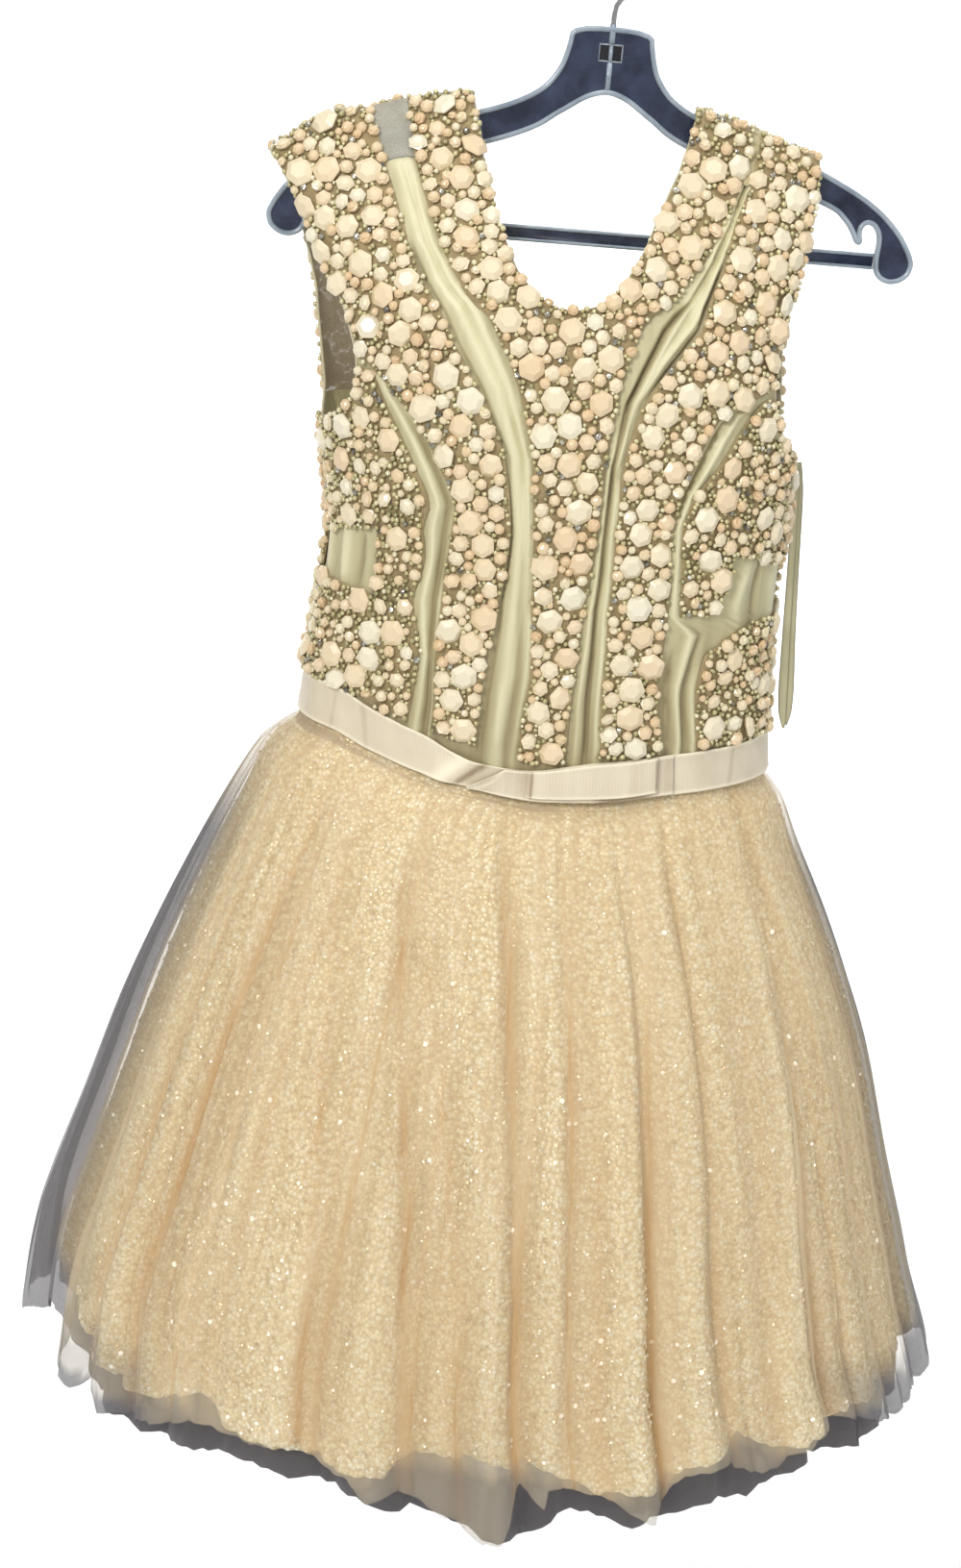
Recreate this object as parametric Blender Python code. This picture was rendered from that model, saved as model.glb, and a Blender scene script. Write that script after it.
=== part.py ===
# Sleeveless beaded mini dress on a moulded clothes hanger.
# Metres, +Z up. The front faces -Y, +X is the viewer's right. The origin is the inner top of the hanger's hook.
import bpy
from math import sin, cos, radians, sqrt, pi

for item in list(bpy.data.objects):
    bpy.data.objects.remove(item, do_unlink=True)

MM = 0.001

# ------------------------------------------------------------------ driving sizes
CHEST_Z = -0.240          # level where the neckline starts
CLOTH = 1.4 * MM          # bodice panel wall
NET = 1.0 * MM            # tulle and net wall
SEQUIN = 1.2 * MM         # sequinned tulle wall
BEADS = 3.0 * MM          # beaded band wall
ON_PANEL = 0.9 * MM       # a band's clearance over its panel's facets
SEAM = 0.3 * MM           # gap where two pieces meet
BAND_GAP = 0.4 * MM       # waistband's clearance over the bodice
RIBBON = 1.0 * MM         # waistband ribbon
BODICE_FOOT = 0.024       # v of the bodice's lower edge, under the waistband
SKIRT_HEAD = 6.0 * MM     # height of the skirt's top edge over the waist line
STEP = 10.0               # degrees between the columns of every bodice piece
SKIRT_STEP = 7.5          # degrees between the columns of the skirt
SKIRT_LENGTH = 0.450      # waist to hem, straight down
WIRE = 1.8 * MM           # hook wire radius
HOOK_R = 20.0 * MM        # hook's inner radius
HANGER_T = 6.0 * MM       # hanger thickness
BAR_Z, BAR_H, BAR_X = -0.1943, 0.0105, 0.1845

# ------------------------------------------------------------------ section tables
# v runs 0 at the waist line, 1 at the chest level, 2 at the shoulder line.
# v, centre x, half width, front depth, back depth (mm), squareness
BODICE = (
    (0.00, -8.0, 162.0, 76.0, 72.0, 2.2),
    (0.20, -9.0, 155.0, 79.0, 72.0, 2.2),
    (0.45, -6.0, 151.0, 84.0, 74.0, 2.2),
    (0.70, -11.0, 156.0, 88.0, 78.0, 2.2),
    (0.85, -16.0, 158.0, 86.0, 74.0, 2.2),
    (1.00, -21.0, 160.0, 78.0, 66.0, 2.3),
    (1.30, -25.0, 164.0, 58.0, 50.0, 2.6),
    (1.60, -29.0, 170.0, 35.0, 32.0, 3.2),
    (1.85, -32.0, 177.0, 17.0, 16.0, 4.5),
    (1.95, -34.0, 180.0, 10.0, 10.0, 5.0),
    (2.00, -34.5, 181.0, 0.2, 0.2, 5.0),
)
# angle round the body from centre front, height of the waist line (mm)
WAIST = (
    (-180, -530.0), (-90, -519.0), (-60, -522.0), (-45, -531.0), (-30, -541.0), (-15, -548.5),
    (0, -553.5), (15, -552.0), (30, -547.0), (60, -541.0), (90, -537.0), (180, -530.0),
)
# x, height of the shoulder line (mm)
SHOULDER = (
    (-215, -156.0), (-195, -143.0), (-178, -131.0), (-155, -125.0), (-125, -116.0), (-83, -108.5),
    (60, -108.5), (80, -112.0), (100, -118.0), (118, -124.5), (132, -128.5), (146, -133.0),
)
# share of the skirt's length below its head: share, centre x, half width, front depth, back depth (mm), squareness
SKIRT = (
    (0.00, -8.0, 160.0, 74.0, 70.0, 2.20),
    (0.02, -8.2, 160.5, 74.5, 70.5, 2.20),
    (0.06, -13.0, 179.0, 92.0, 86.0, 2.15),
    (0.14, -15.0, 198.0, 110.0, 102.0, 2.10),
    (0.26, -14.0, 225.0, 132.0, 124.0, 2.05),
    (0.46, -13.0, 263.0, 168.0, 158.0, 2.00),
    (0.65, -14.0, 290.0, 197.0, 186.0, 2.00),
    (0.83, -14.0, 316.0, 219.0, 208.0, 2.00),
    (1.00, -6.0, 335.0, 234.0, 222.0, 2.00),
    (1.10, -4.0, 340.0, 242.0, 230.0, 2.00),
)
# main folds of the skirt: angle of the valley, half width (degrees), depth at the hem (mm)
FOLDS = (
    (-150, 11, 15.0), (-128, 9, 12.0), (-104, 10, 16.0), (-84, 8, 10.0), (-68, 9, 15.0), (-51, 8, 13.0),
    (-36, 8, 12.0), (-15, 9, 17.0), (1, 7, 9.0), (18, 8, 12.0), (27, 6, 8.0), (39, 8, 14.0),
    (56, 9, 15.0), (74, 8, 12.0), (97, 10, 14.0), (118, 9, 11.0), (139, 11, 16.0), (163, 10, 12.0), (178, 8, 9.0),
)
# share of the length, inset from the overlay's outer face (mm)
SEQUIN_INSET = ((0.0, 1.9), (0.02, 2.0), (0.06, 4.5), (0.14, 7.0), (0.46, 11.0), (1.0, 15.0))
UNDER_INSET = ((0.0, 4.2), (0.02, 4.4), (0.06, 8.5), (0.14, 13.0), (0.46, 22.0), (1.0, 30.0))
# hem heights: angle, height (mm)
OVERLAY_HEM = (
    (-180, -985), (-150, -1000), (-120, -975), (-90, -966), (-75, -962), (-60, -985), (-45, -975), (-30, -985),
    (-15, -1000), (0, -1014), (7.5, -990), (15, -1000), (30, -988), (45, -978), (60, -968), (75, -980), (90, -968),
    (120, -985), (150, -978), (180, -985),
)
SEQUIN_HEM = (
    (-180, -955), (-90, -948), (-60, -962), (-45, -958), (-30, -962), (-15, -966), (0, -962), (15, -972), (30, -958),
    (60, -955), (90, -946), (180, -955),
)
UNDER_HEM = (
    (-180, -1000), (-90, -985), (-60, -1003), (-45, -994), (-30, -1008), (-15, -1018), (0, -1026), (15, -1016),
    (30, -1012), (60, -1000), (90, -986), (180, -1000),
)

# ------------------------------------------------------------------ edges of the bodice
# v, left edge, right edge: angles from centre front
NECK = (
    (1.05, 1.5, 1.5), (1.12, -6.5, 10.5), (1.25, -11.0, 16.0), (1.45, -14.0, 21.0),
    (1.70, -15.5, 26.5), (2.00, -16.0, 31.0),
)
ARMHOLE = (
    (0.72, -90.0, 90.0), (0.78, -60.0, 64.0), (0.85, -56.0, 60.5), (0.92, -57.0, 61.0), (1.00, -60.5, 64.5),
    (1.15, -67.0, 69.5), (1.30, -72.0, 74.0), (1.50, -75.0, 78.5), (1.70, -76.5, 78.5), (2.00, -78.0, 75.0),
)
# the back's edges, counted from centre back: v, left scoop edge, right scoop edge
SCOOP = (
    (0.57, 0.6, 0.6), (0.60, 6.0, 6.0), (0.66, 13.0, 13.0), (0.78, 20.0, 22.0), (1.00, 22.0, 29.0),
    (1.50, 20.0, 33.0), (2.00, 16.0, 31.0),
)
# v, angle from centre back of the back's armhole edge
BACK_ARM = ((0.72, 90.0), (0.78, 77.0), (1.00, 76.0), (1.30, 78.0), (1.70, 78.0), (2.00, 76.5))

# ------------------------------------------------------------------ beaded bands on the front
# each: v, left edge, right edge
NECK_LEFT = ((1.06, -22.0, -4.5), (1.15, -24.5, -9.0), (1.30, -28.0, -13.0), (1.50, -30.0, -15.5), (1.70, -31.5, -16.5), (1.95, -30.5, -17.0))
NECK_RIGHT = ((1.06, 5.5, 21.0), (1.15, 13.0, 27.0), (1.30, 18.5, 33.5), (1.50, 23.5, 40.0), (1.70, 27.5, 43.5), (1.95, 31.5, 45.5))
CENTRE = (
    (0.12, -6.5, 5.0), (0.27, -5.5, 5.5), (0.42, -8.0, 5.0), (0.57, -8.5, 7.0), (0.72, -8.5, 8.5),
    (0.85, -11.0, 11.5), (0.92, -13.5, 14.0), (1.00, -18.0, 18.0), (1.045, -21.0, 20.0),
)
OUTER_LEFT_UP = ((0.923, -56.0, -28.5), (1.00, -59.5, -29.5), (1.12, -65.0, -32.5), (1.30, -71.0, -36.0), (1.50, -73.5, -37.5), (1.70, -75.0, -39.0), (1.95, -75.5, -39.5))
OUTER_LEFT_LOW = ((0.12, -29.0, -15.5), (0.27, -29.0, -15.5), (0.42, -32.0, -15.5), (0.57, -29.0, -14.0), (0.72, -33.0, -15.0), (0.85, -49.0, -20.5), (0.917, -54.5, -24.0))
OUTER_RIGHT_UP = ((0.923, 25.0, 60.0), (1.00, 33.0, 63.5), (1.12, 35.0, 67.5), (1.30, 39.0, 72.5), (1.50, 42.0, 76.0), (1.70, 46.0, 76.0), (1.95, 48.5, 73.0))
OUTER_RIGHT_LOW = ((0.12, 13.0, 29.0), (0.27, 12.5, 27.5), (0.42, 11.0, 26.0), (0.57, 11.0, 26.0), (0.72, 12.5, 30.5), (0.85, 17.5, 44.0), (0.917, 24.0, 56.0))
# side clusters: lower part, link beside the bare patch, upper part
SIDE_LEFT = (
    ((0.12, -89.0, -36.0), (0.27, -89.0, -40.0), (0.42, -89.0, -37.0)),
    ((0.42, -50.0, -37.0), (0.57, -50.0, -36.5)),
    ((0.57, -89.0, -36.5), (0.66, -89.0, -38.0), (0.72, -89.0, -45.0)),
)
SIDE_RIGHT = (
    ((0.12, 36.0, 89.0), (0.27, 35.0, 89.0), (0.42, 31.0, 89.0)),
    ((0.42, 31.0, 40.0), (0.57, 28.0, 40.0)),
    ((0.57, 28.0, 89.0), (0.66, 31.0, 89.0), (0.72, 38.0, 89.0)),
)
# beaded bands on the back, counted from centre back: v, inner edge, outer edge
BACK_UP = ((0.79, 23.5, 74.0), (1.00, 30.0, 74.0), (1.30, 32.0, 75.0), (1.50, 33.5, 75.0), (1.70, 33.0, 75.0), (1.95, 32.0, 74.0))
BACK_IN = ((0.12, 2.5, 15.0), (0.27, 2.5, 14.0), (0.42, 2.5, 15.0), (0.57, 3.5, 21.0), (0.66, 14.5, 29.0), (0.77, 21.5, 37.0))
BACK_OUT = ((0.12, 29.0, 44.0), (0.27, 30.0, 45.0), (0.42, 33.0, 49.0), (0.57, 37.0, 55.0), (0.77, 43.0, 66.0))
BACK_SIDE = ((0.12, 57.0, 89.0), (0.27, 60.0, 89.0), (0.42, 63.0, 89.0), (0.57, 65.0, 89.0), (0.72, 72.0, 89.0))
# levels shared by every bodice piece, so that a band's facets follow its panel's
ROWS = (BODICE_FOOT, 0.12, 0.27, 0.42, 0.57, 0.66, 0.72, 0.78, 0.85, 0.92, 1.00, 1.05, 1.12, 1.30, 1.50, 1.70, 1.85, 1.95, 2.00)
NET_FROM = 1.70           # v above which the shoulders are bare net

# waistband: angle, v of its upper edge
BAND_TOP = ((-180, .092), (-90, .100), (-60, .104), (-45, .096), (-30, .086), (-22, .066), (-12, .058), (-4, .064), (15, .090), (60, .095), (90, .098), (180, .092))
BOW = (-3.5, 28.0)        # angles of the bow tab's ends

# ------------------------------------------------------------------ hanger outline, right half
# x, top edge, lower edge (mm)
HANGER = (
    (26.0, -63.0, -117.0), (28.5, -78.0, -118.5), (32.0, -90.0, -121.0), (40.0, -101.0, -127.0), (50.0, -108.0, -132.0),
    (65.0, -115.0, -138.0), (90.0, -123.0, -146.0), (120.0, -132.5, -154.0), (140.0, -138.0, -159.0), (156.0, -145.0, -165.0),
)
# the end's outline from the top edge round to the curl (mm)
HANGER_END = (
    (174.0, -153.5), (189.0, -163.5), (201.0, -175.0), (208.5, -186.0), (212.0, -194.0), (209.5, -202.0), (203.0, -207.0),
    (196.0, -208.5), (189.0, -205.5), (184.8, -200.2), (184.8, -188.5), (183.0, -176.0), (178.0, -168.5), (174.0, -173.0), (173.0, -179.0),
    (168.5, -179.5), (165.0, -175.0),
)


# ------------------------------------------------------------------ helpers
def slopes(rows, col):
    """Slopes at a table's rows that never overshoot."""
    xs = [r[0] for r in rows]
    ys = [r[col] for r in rows]
    d = [(ys[i + 1] - ys[i]) / (xs[i + 1] - xs[i]) for i in range(len(xs) - 1)]
    m = [d[0]]
    for i in range(1, len(d)):
        m.append(0.0 if d[i - 1] * d[i] <= 0 else 2 * d[i - 1] * d[i] / (d[i - 1] + d[i]))
    return m + [d[-1]]


def smooth(rows, col, x, cache={}):
    """A table's column read along a smooth line through its rows."""
    key = (id(rows), col)
    if key not in cache:
        cache[key] = slopes(rows, col)
    m = cache[key]
    if x <= rows[0][0]:
        return rows[0][col]
    if x >= rows[-1][0]:
        return rows[-1][col]
    i = max(k for k in range(len(rows) - 1) if rows[k][0] <= x)
    h = rows[i + 1][0] - rows[i][0]
    s = (x - rows[i][0]) / h
    y0, y1 = rows[i][col], rows[i + 1][col]
    return (
        (1 + 2 * s) * (1 - s) ** 2 * y0 + s * (1 - s) ** 2 * h * m[i]
        + s * s * (3 - 2 * s) * y1 + s * s * (s - 1) * h * m[i + 1]
    )


def straight(rows, col, x):
    """A table's column read along straight lines."""
    if x <= rows[0][0]:
        return rows[0][col]
    for a, b in zip(rows, rows[1:]):
        if x <= b[0]:
            return a[col] + (b[col] - a[col]) * (x - a[0]) / (b[0] - a[0])
    return rows[-1][col]


def ring(angle, x0, half, front, back, n):
    """A point of one section: the angle's sine is the share of the half width."""
    s, c = sin(radians(angle)), cos(radians(angle))
    depth = front if c >= 0 else back
    y = depth * max(1 - abs(s) ** n, 0.0) ** (1 / n)
    return (x0 + half * s) * MM, (-y if c >= 0 else y) * MM


def bodice(angle, v):
    x, y = ring(angle, *(smooth(BODICE, k, v) for k in range(1, 6)))
    foot = smooth(WAIST, 1, angle) * MM
    if v <= 1:
        return (x, y, foot + v * (CHEST_Z - foot))
    top = smooth(SHOULDER, 1, x / MM) * MM
    return (x, y, CHEST_Z + (v - 1) * (top - CHEST_Z))


def fold(angle):
    """Share of fold depth (mm at the hem) at an angle."""
    total = 0.0
    for at, half, depth in FOLDS:
        d = (angle - at + 180) % 360 - 180
        if abs(d) < 2 * half:
            total += depth * 0.5 * (1 + cos(pi * d / (2 * half)))
    return total


def skirt(inset, hem, foldness):
    def point(angle, t):
        """t 0 is the skirt's head, 1 its hem."""
        top = smooth(WAIST, 1, angle) * MM + SKIRT_HEAD
        foot = straight(hem, 1, angle) * MM
        z = top + t * (foot - top)
        share = (top - z) / SKIRT_LENGTH
        x0, half, front, back, n = (smooth(SKIRT, k, share) for k in range(1, 6))
        shrink = straight(inset, 1, share) if inset else 0.0
        shrink += fold(angle) * foldness * min(1.0, max(share - 0.02, 0.0) / 0.9) ** 0.8
        x, y = ring(angle, x0, half - shrink, front - shrink, back - shrink, n)
        return (x, y, z)
    return point


def sub(a, b):
    return (a[0] - b[0], a[1] - b[1], a[2] - b[2])


def cross(a, b):
    return (a[1] * b[2] - a[2] * b[1], a[2] * b[0] - a[0] * b[2], a[0] * b[1] - a[1] * b[0])


def normal(surface, angle, v, top):
    """Outward normal of a surface; straight up on the shoulder line."""
    if top is not None and v >= top - 1e-6:
        return (0.0, 0.0, 1.0)
    da, dv = 0.4, 0.004
    side = 1 if cos(radians(angle)) >= 0 else -1
    lo, hi = angle - da, angle + da
    if abs(abs(angle) - 90) < da:
        lo, hi = (angle - 2 * da, angle) if (angle > 0) == (side > 0) else (angle, angle + 2 * da)
    along = sub(surface(hi, v), surface(lo, v))
    up = sub(surface(angle, min(v + dv, 2.0)), surface(angle, max(v - dv, 0.0)))
    n = cross(along, up)
    size = sqrt(sum(k * k for k in n)) or 1.0
    return tuple(k / size for k in n)


def material(name, colour, rough, metal=0.0, alpha=1.0):
    mat = bpy.data.materials.new(name)
    mat.use_nodes = True
    node = mat.node_tree.nodes["Principled BSDF"]
    node.inputs["Base Color"].default_value = (*colour, 1.0)
    node.inputs["Roughness"].default_value = rough
    node.inputs["Metallic"].default_value = metal
    node.inputs["Alpha"].default_value = alpha
    return mat


def make(name, points, faces, mat, round_piece=True):
    mesh = bpy.data.meshes.new(name)
    mesh.from_pydata(points, [], faces)
    mesh.materials.append(mat)
    if round_piece:
        mesh.shade_smooth()
        mesh.set_sharp_from_angle(angle=radians(40))
    mesh.update()
    obj = bpy.data.objects.new(name, mesh)
    bpy.context.scene.collection.objects.link(obj)
    return obj


def wall(name, surface, strips, outer, inner, mat, top=None, step=STEP):
    """A closed cloth wall. strips: lists of (v, left, right) rows that share a grid; columns stand every step degrees
    and stop at each row's edges. outer and inner are the distances of the two faces from the surface."""
    index, spots, faces = {}, [], []

    def vertex(v, a):
        key = (round(v, 5), round(a, 4))
        if key not in index:
            index[key] = len(spots)
            spots.append((a, v))
        return index[key]

    for rows in strips:
        low = min(r[1] for r in rows)
        high = max(r[2] for r in rows)
        first = int(low // step)
        columns = [low] + [k * step for k in range(first, int(high // step) + 2) if low < k * step < high] + [high]
        for (v0, l0, r0), (v1, l1, r1) in zip(rows, rows[1:]):
            a = [vertex(v0, min(max(c, l0), r0)) for c in columns]
            b = [vertex(v1, min(max(c, l1), r1)) for c in columns]
            for k in range(len(columns) - 1):
                corners = []
                for i in (a[k], a[k + 1], b[k + 1], b[k]):
                    if i not in corners:
                        corners.append(i)
                if len(corners) == 4:
                    faces.append([corners[0], corners[1], corners[2]])
                    faces.append([corners[0], corners[2], corners[3]])
                elif len(corners) == 3:
                    faces.append(corners)
    out, back = [], []
    for a, v in spots:
        p, n = surface(a, v), normal(surface, a, v, top)
        out.append(tuple(p[i] + n[i] * outer for i in range(3)))
        back.append(tuple(p[i] + n[i] * inner for i in range(3)))
    count = len(spots)
    solid = [f for f in faces] + [[i + count for i in reversed(f)] for f in faces]
    edges = {}
    for f in faces:
        for i, j in zip(f, f[1:] + f[:1]):
            edges[(i, j)] = True
    for i, j in edges:
        if (j, i) not in edges:
            solid.append([j, i, i + count, j + count])
    return make(name, out + back, solid, mat)


def levels(low, high):
    """The shared levels between two ends, with the ends."""
    return sorted({low, high} | {v for v in ROWS if low < v < high})


# ------------------------------------------------------------------ materials
SATIN = material("satin_organza", (0.60, 0.54, 0.32), 0.45)
SHEER = material("net", (0.62, 0.55, 0.42), 0.8, 0.0, 0.5)
BEADWORK = material("beadwork", (0.86, 0.70, 0.52), 0.3)
TULLE = material("tulle", (0.80, 0.58, 0.36), 0.85, 0.0, 0.4)
SEQUINS = material("sequin_tulle", (0.75, 0.55, 0.30), 0.35, 0.3)
RIBBON_MAT = material("ribbon_satin", (0.70, 0.55, 0.40), 0.4)
ZIP_TAPE = material("zip_tape", (0.66, 0.56, 0.40), 0.7)
PLASTIC = material("hanger_plastic", (0.06, 0.08, 0.13), 0.25)
STEEL = material("hook_steel", (0.62, 0.62, 0.63), 0.3, 1.0)

# ------------------------------------------------------------------ bodice
EDGE = 0.13               # degrees left free at each side seam


def front_rows(low, high, left_half):
    rows = []
    for v in levels(low, high):
        arm_l, arm_r = straight(ARMHOLE, 1, v), straight(ARMHOLE, 2, v)
        arm_l, arm_r = max(arm_l, -90 + EDGE), min(arm_r, 90 - EDGE)
        if left_half:
            rows.append((v, arm_l, straight(NECK, 1, v)))
        else:
            rows.append((v, straight(NECK, 2, v), arm_r))
    return rows


wall("bodice_front", bodice, [front_rows(BODICE_FOOT, NET_FROM - 0.002, True), front_rows(BODICE_FOOT, NET_FROM - 0.002, False)], 0.0, -CLOTH, SATIN)
wall("shoulder_net_left", bodice, [front_rows(NET_FROM + 0.002, 2.0, True)], 0.0, -NET, SHEER, 2.0)
wall("shoulder_net_right", bodice, [front_rows(NET_FROM + 0.002, 2.0, False)], 0.0, -NET, SHEER, 2.0)


def back_rows(side):
    """side -1 is the viewer's left. Angles run from the front round to centre back."""
    rows = []
    for v in levels(BODICE_FOOT, 2.0):
        scoop = max(straight(SCOOP, 1 if side < 0 else 2, v), 0.12)
        arm = min(straight(BACK_ARM, 1, v), 90 - EDGE)
        if side < 0:
            rows.append((v, -180 + scoop, -180 + arm))
        else:
            rows.append((v, 180 - arm, 180 - scoop))
    return rows


wall("bodice_back_left", bodice, [back_rows(-1)], 0.0, -CLOTH, SATIN, 2.0)
wall("bodice_back_right", bodice, [back_rows(1)], 0.0, -CLOTH, SATIN, 2.0)


def band(name, *tables):
    strips = [[(v, straight(t, 1, v), straight(t, 2, v)) for v in levels(t[0][0], t[-1][0])] for t in tables]
    wall(name, bodice, strips, ON_PANEL + BEADS, ON_PANEL, BEADWORK)


for band_name, band_table in (
    ("beads_neck_left", NECK_LEFT), ("beads_neck_right", NECK_RIGHT), ("beads_centre", CENTRE),
    ("beads_outer_left_upper", OUTER_LEFT_UP), ("beads_outer_left_lower", OUTER_LEFT_LOW),
    ("beads_outer_right_upper", OUTER_RIGHT_UP), ("beads_outer_right_lower", OUTER_RIGHT_LOW),
):
    band(band_name, band_table)
band("beads_side_left", *SIDE_LEFT)
band("beads_side_right", *SIDE_RIGHT)

for band_name, band_table in (("upper", BACK_UP), ("inner", BACK_IN), ("outer", BACK_OUT), ("side", BACK_SIDE)):
    band("beads_back_left_" + band_name, tuple((v, -180 + a, -180 + b) for v, a, b in band_table))
    band("beads_back_right_" + band_name, tuple((v, 180 - b, 180 - a) for v, a, b in band_table))


# ------------------------------------------------------------------ waistband, bow tab, zip
def ribbon_point(angle, u):
    """u 0 is the ribbon's lower edge, 1 its upper."""
    return bodice(angle, u * smooth(BAND_TOP, 1, angle))


GAP_DEG = 0.12
for name, low, high in (("waistband_front", -90 + GAP_DEG, 90 - GAP_DEG), ("waistband_back_left", -180 + GAP_DEG, -90 - GAP_DEG), ("waistband_back_right", 90 + GAP_DEG, 180 - GAP_DEG)):
    wall(name, ribbon_point, [[(0.0, low, high), (0.5, low, high), (1.0, low, high)]], BAND_GAP + RIBBON, BAND_GAP, RIBBON_MAT)
wall("bow_tab", ribbon_point, [[(0.04, BOW[0], BOW[1]), (0.5, BOW[0], BOW[1]), (1.02, BOW[0], BOW[1])]], BAND_GAP + RIBBON + 0.5 * MM + 1.6 * MM, BAND_GAP + RIBBON + 0.5 * MM, RIBBON_MAT)

ZIP_W = 6.0 * MM          # half width of the zip's tape
ZIP_ROWS = (0.03, 0.12, 0.27, 0.42, 0.55)


def zip_strip():
    """A flat tape behind the centre-back seam: its half width across, following the seam's depth."""
    points, faces = [], []
    for v in ZIP_ROWS:
        x, y, z = bodice(180, v)
        for dx, dy in ((-ZIP_W, -2.6 * MM), (ZIP_W, -2.6 * MM), (ZIP_W, -4.0 * MM), (-ZIP_W, -4.0 * MM)):
            points.append((x + dx, y + dy, z))
    n = len(ZIP_ROWS)
    for r in range(n - 1):
        for k in range(4):
            a, b = 4 * r + k, 4 * r + (k + 1) % 4
            faces.append((a, a + 4, b + 4, b))
    faces.append((0, 1, 2, 3))
    last = 4 * (n - 1)
    faces.append((last + 3, last + 2, last + 1, last))
    make("back_zip_tape", points, faces, ZIP_TAPE, False)


zip_strip()

# ------------------------------------------------------------------ skirt
LEVELS = (0.0, 0.018, 0.06, 0.15, 0.32, 0.62, 1.0)
for layer, inset, hem, foldness, thick, mat in (
    ("overlay", None, OVERLAY_HEM, 1.0, NET, TULLE),
    ("sequin", SEQUIN_INSET, SEQUIN_HEM, 0.85, SEQUIN, SEQUINS),
    ("under", UNDER_INSET, UNDER_HEM, 0.7, NET, TULLE),
):
    point = skirt(inset, hem, foldness)
    for part, low, high in (("front", -90 + EDGE, 90 - EDGE), ("back", 90 + EDGE, 270 - EDGE)):
        def at(angle, t, point=point):
            return point((angle + 180) % 360 - 180, t)
        wall("skirt_" + layer + "_" + part, at, [[(t, low, high) for t in LEVELS]], 0.0, -thick, mat, None, SKIRT_STEP)

# ------------------------------------------------------------------ ribbon hanger loop at the right underarm
# z, centre x, outer half width, slot half width (mm)
LOOP = (
    (-331, 152.5, 3.2, 0.5), (-350, 154.0, 3.4, 0.5), (-400, 157.0, 4.0, 0.6), (-450, 160.0, 4.6, 0.7), (-485, 162.5, 5.0, 0.8), (-500, 163.5, 4.8, 0.6),
)
LOOP_TIP = (-513, 164.4)
LOOP_T = 1.0 * MM


def hanging_loop():
    outline = [(x + w, z) for z, x, w, s in LOOP] + [(LOOP_TIP[1], LOOP_TIP[0])] + [(x - w, z) for z, x, w, s in reversed(LOOP)]
    slot = [(x + s, z - (2 if i == 0 else 0)) for i, (z, x, w, s) in enumerate(LOOP)] + [(LOOP_TIP[1], LOOP_TIP[0] + 6)] + [(x - s, z - (2 if i == len(LOOP) - 1 else 0)) for i, (z, x, w, s) in enumerate(reversed(LOOP))]
    n = len(outline)
    points, faces = [], []
    for y in (-LOOP_T / 2, LOOP_T / 2):
        points += [(x * MM, y, z * MM) for x, z in outline]
        points += [(x * MM, y, z * MM) for x, z in slot]
    for i in range(n):
        j = (i + 1) % n
        o0, o1, s0, s1 = i, j, n + i, n + j
        b = 2 * n
        faces.append((o1, o0, s0, s1))
        faces.append((o0 + b, o1 + b, s1 + b, s0 + b))
        faces.append((o0, o1, o1 + b, o0 + b))
        faces.append((s1, s0, s0 + b, s1 + b))
    make("ribbon_loop", points, faces, RIBBON_MAT, False)


hanging_loop()


# ------------------------------------------------------------------ hanger
def hanger_arms():
    right = [(x, t) for x, t, b in HANGER] + list(HANGER_END) + [(x, b) for x, t, b in reversed(HANGER)]
    right += [(12.0, -107.5), (0.0, -104.0)]
    left = [(-x, z) for x, z in reversed(right[:-1])]
    outline = right + left
    edge = 1.2
    n = len(outline)
    inner = []
    for i in range(n):
        (x0, z0), (x1, z1), (x2, z2) = outline[i - 1], outline[i], outline[(i + 1) % n]
        a, b = (x1 - x0, z1 - z0), (x2 - x1, z2 - z1)
        la, lb = sqrt(a[0] ** 2 + a[1] ** 2), sqrt(b[0] ** 2 + b[1] ** 2)
        na, nb = (a[1] / la, -a[0] / la), (b[1] / lb, -b[0] / lb)
        m = (na[0] + nb[0], na[1] + nb[1])
        size = max(m[0] ** 2 + m[1] ** 2, 0.8)
        inner.append((x1 + 2 * m[0] / size * edge, z1 + 2 * m[1] / size * edge))
    half = HANGER_T / 2
    points = []
    for ring_points, y in ((inner, -half), (outline, -half + edge * MM), (outline, half - edge * MM), (inner, half)):
        points += [(x * MM, y, z * MM) for x, z in ring_points]
    faces = []
    for r in range(3):
        for i in range(n):
            j = (i + 1) % n
            faces.append((r * n + i, r * n + j, (r + 1) * n + j, (r + 1) * n + i))
    faces.append(tuple(reversed(range(n))))
    faces.append(tuple(3 * n + i for i in range(n)))
    return make("hanger_arms", points, faces, PLASTIC)


hanger_arms()

bar_half = (BAR_X, HANGER_T / 2, BAR_H / 2)
corner = 1.2 * MM
profile = []
for sy, sz in ((-1, -1), (1, -1), (1, 1), (-1, 1)):
    y, z = sy * bar_half[1], sz * bar_half[2]
    pair = [(y - sy * corner, z), (y, z - sz * corner)]
    profile += pair if sy * sz < 0 else pair[::-1]
points = [(sx * bar_half[0], y, BAR_Z + z) for sx in (-1, 1) for y, z in profile]
m = len(profile)
faces = [(i, (i + 1) % m, m + (i + 1) % m, m + i) for i in range(m)] + [tuple(reversed(range(m))), tuple(range(m, 2 * m))]
bar = make("hanger_bar", points, faces, PLASTIC, False)

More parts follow.
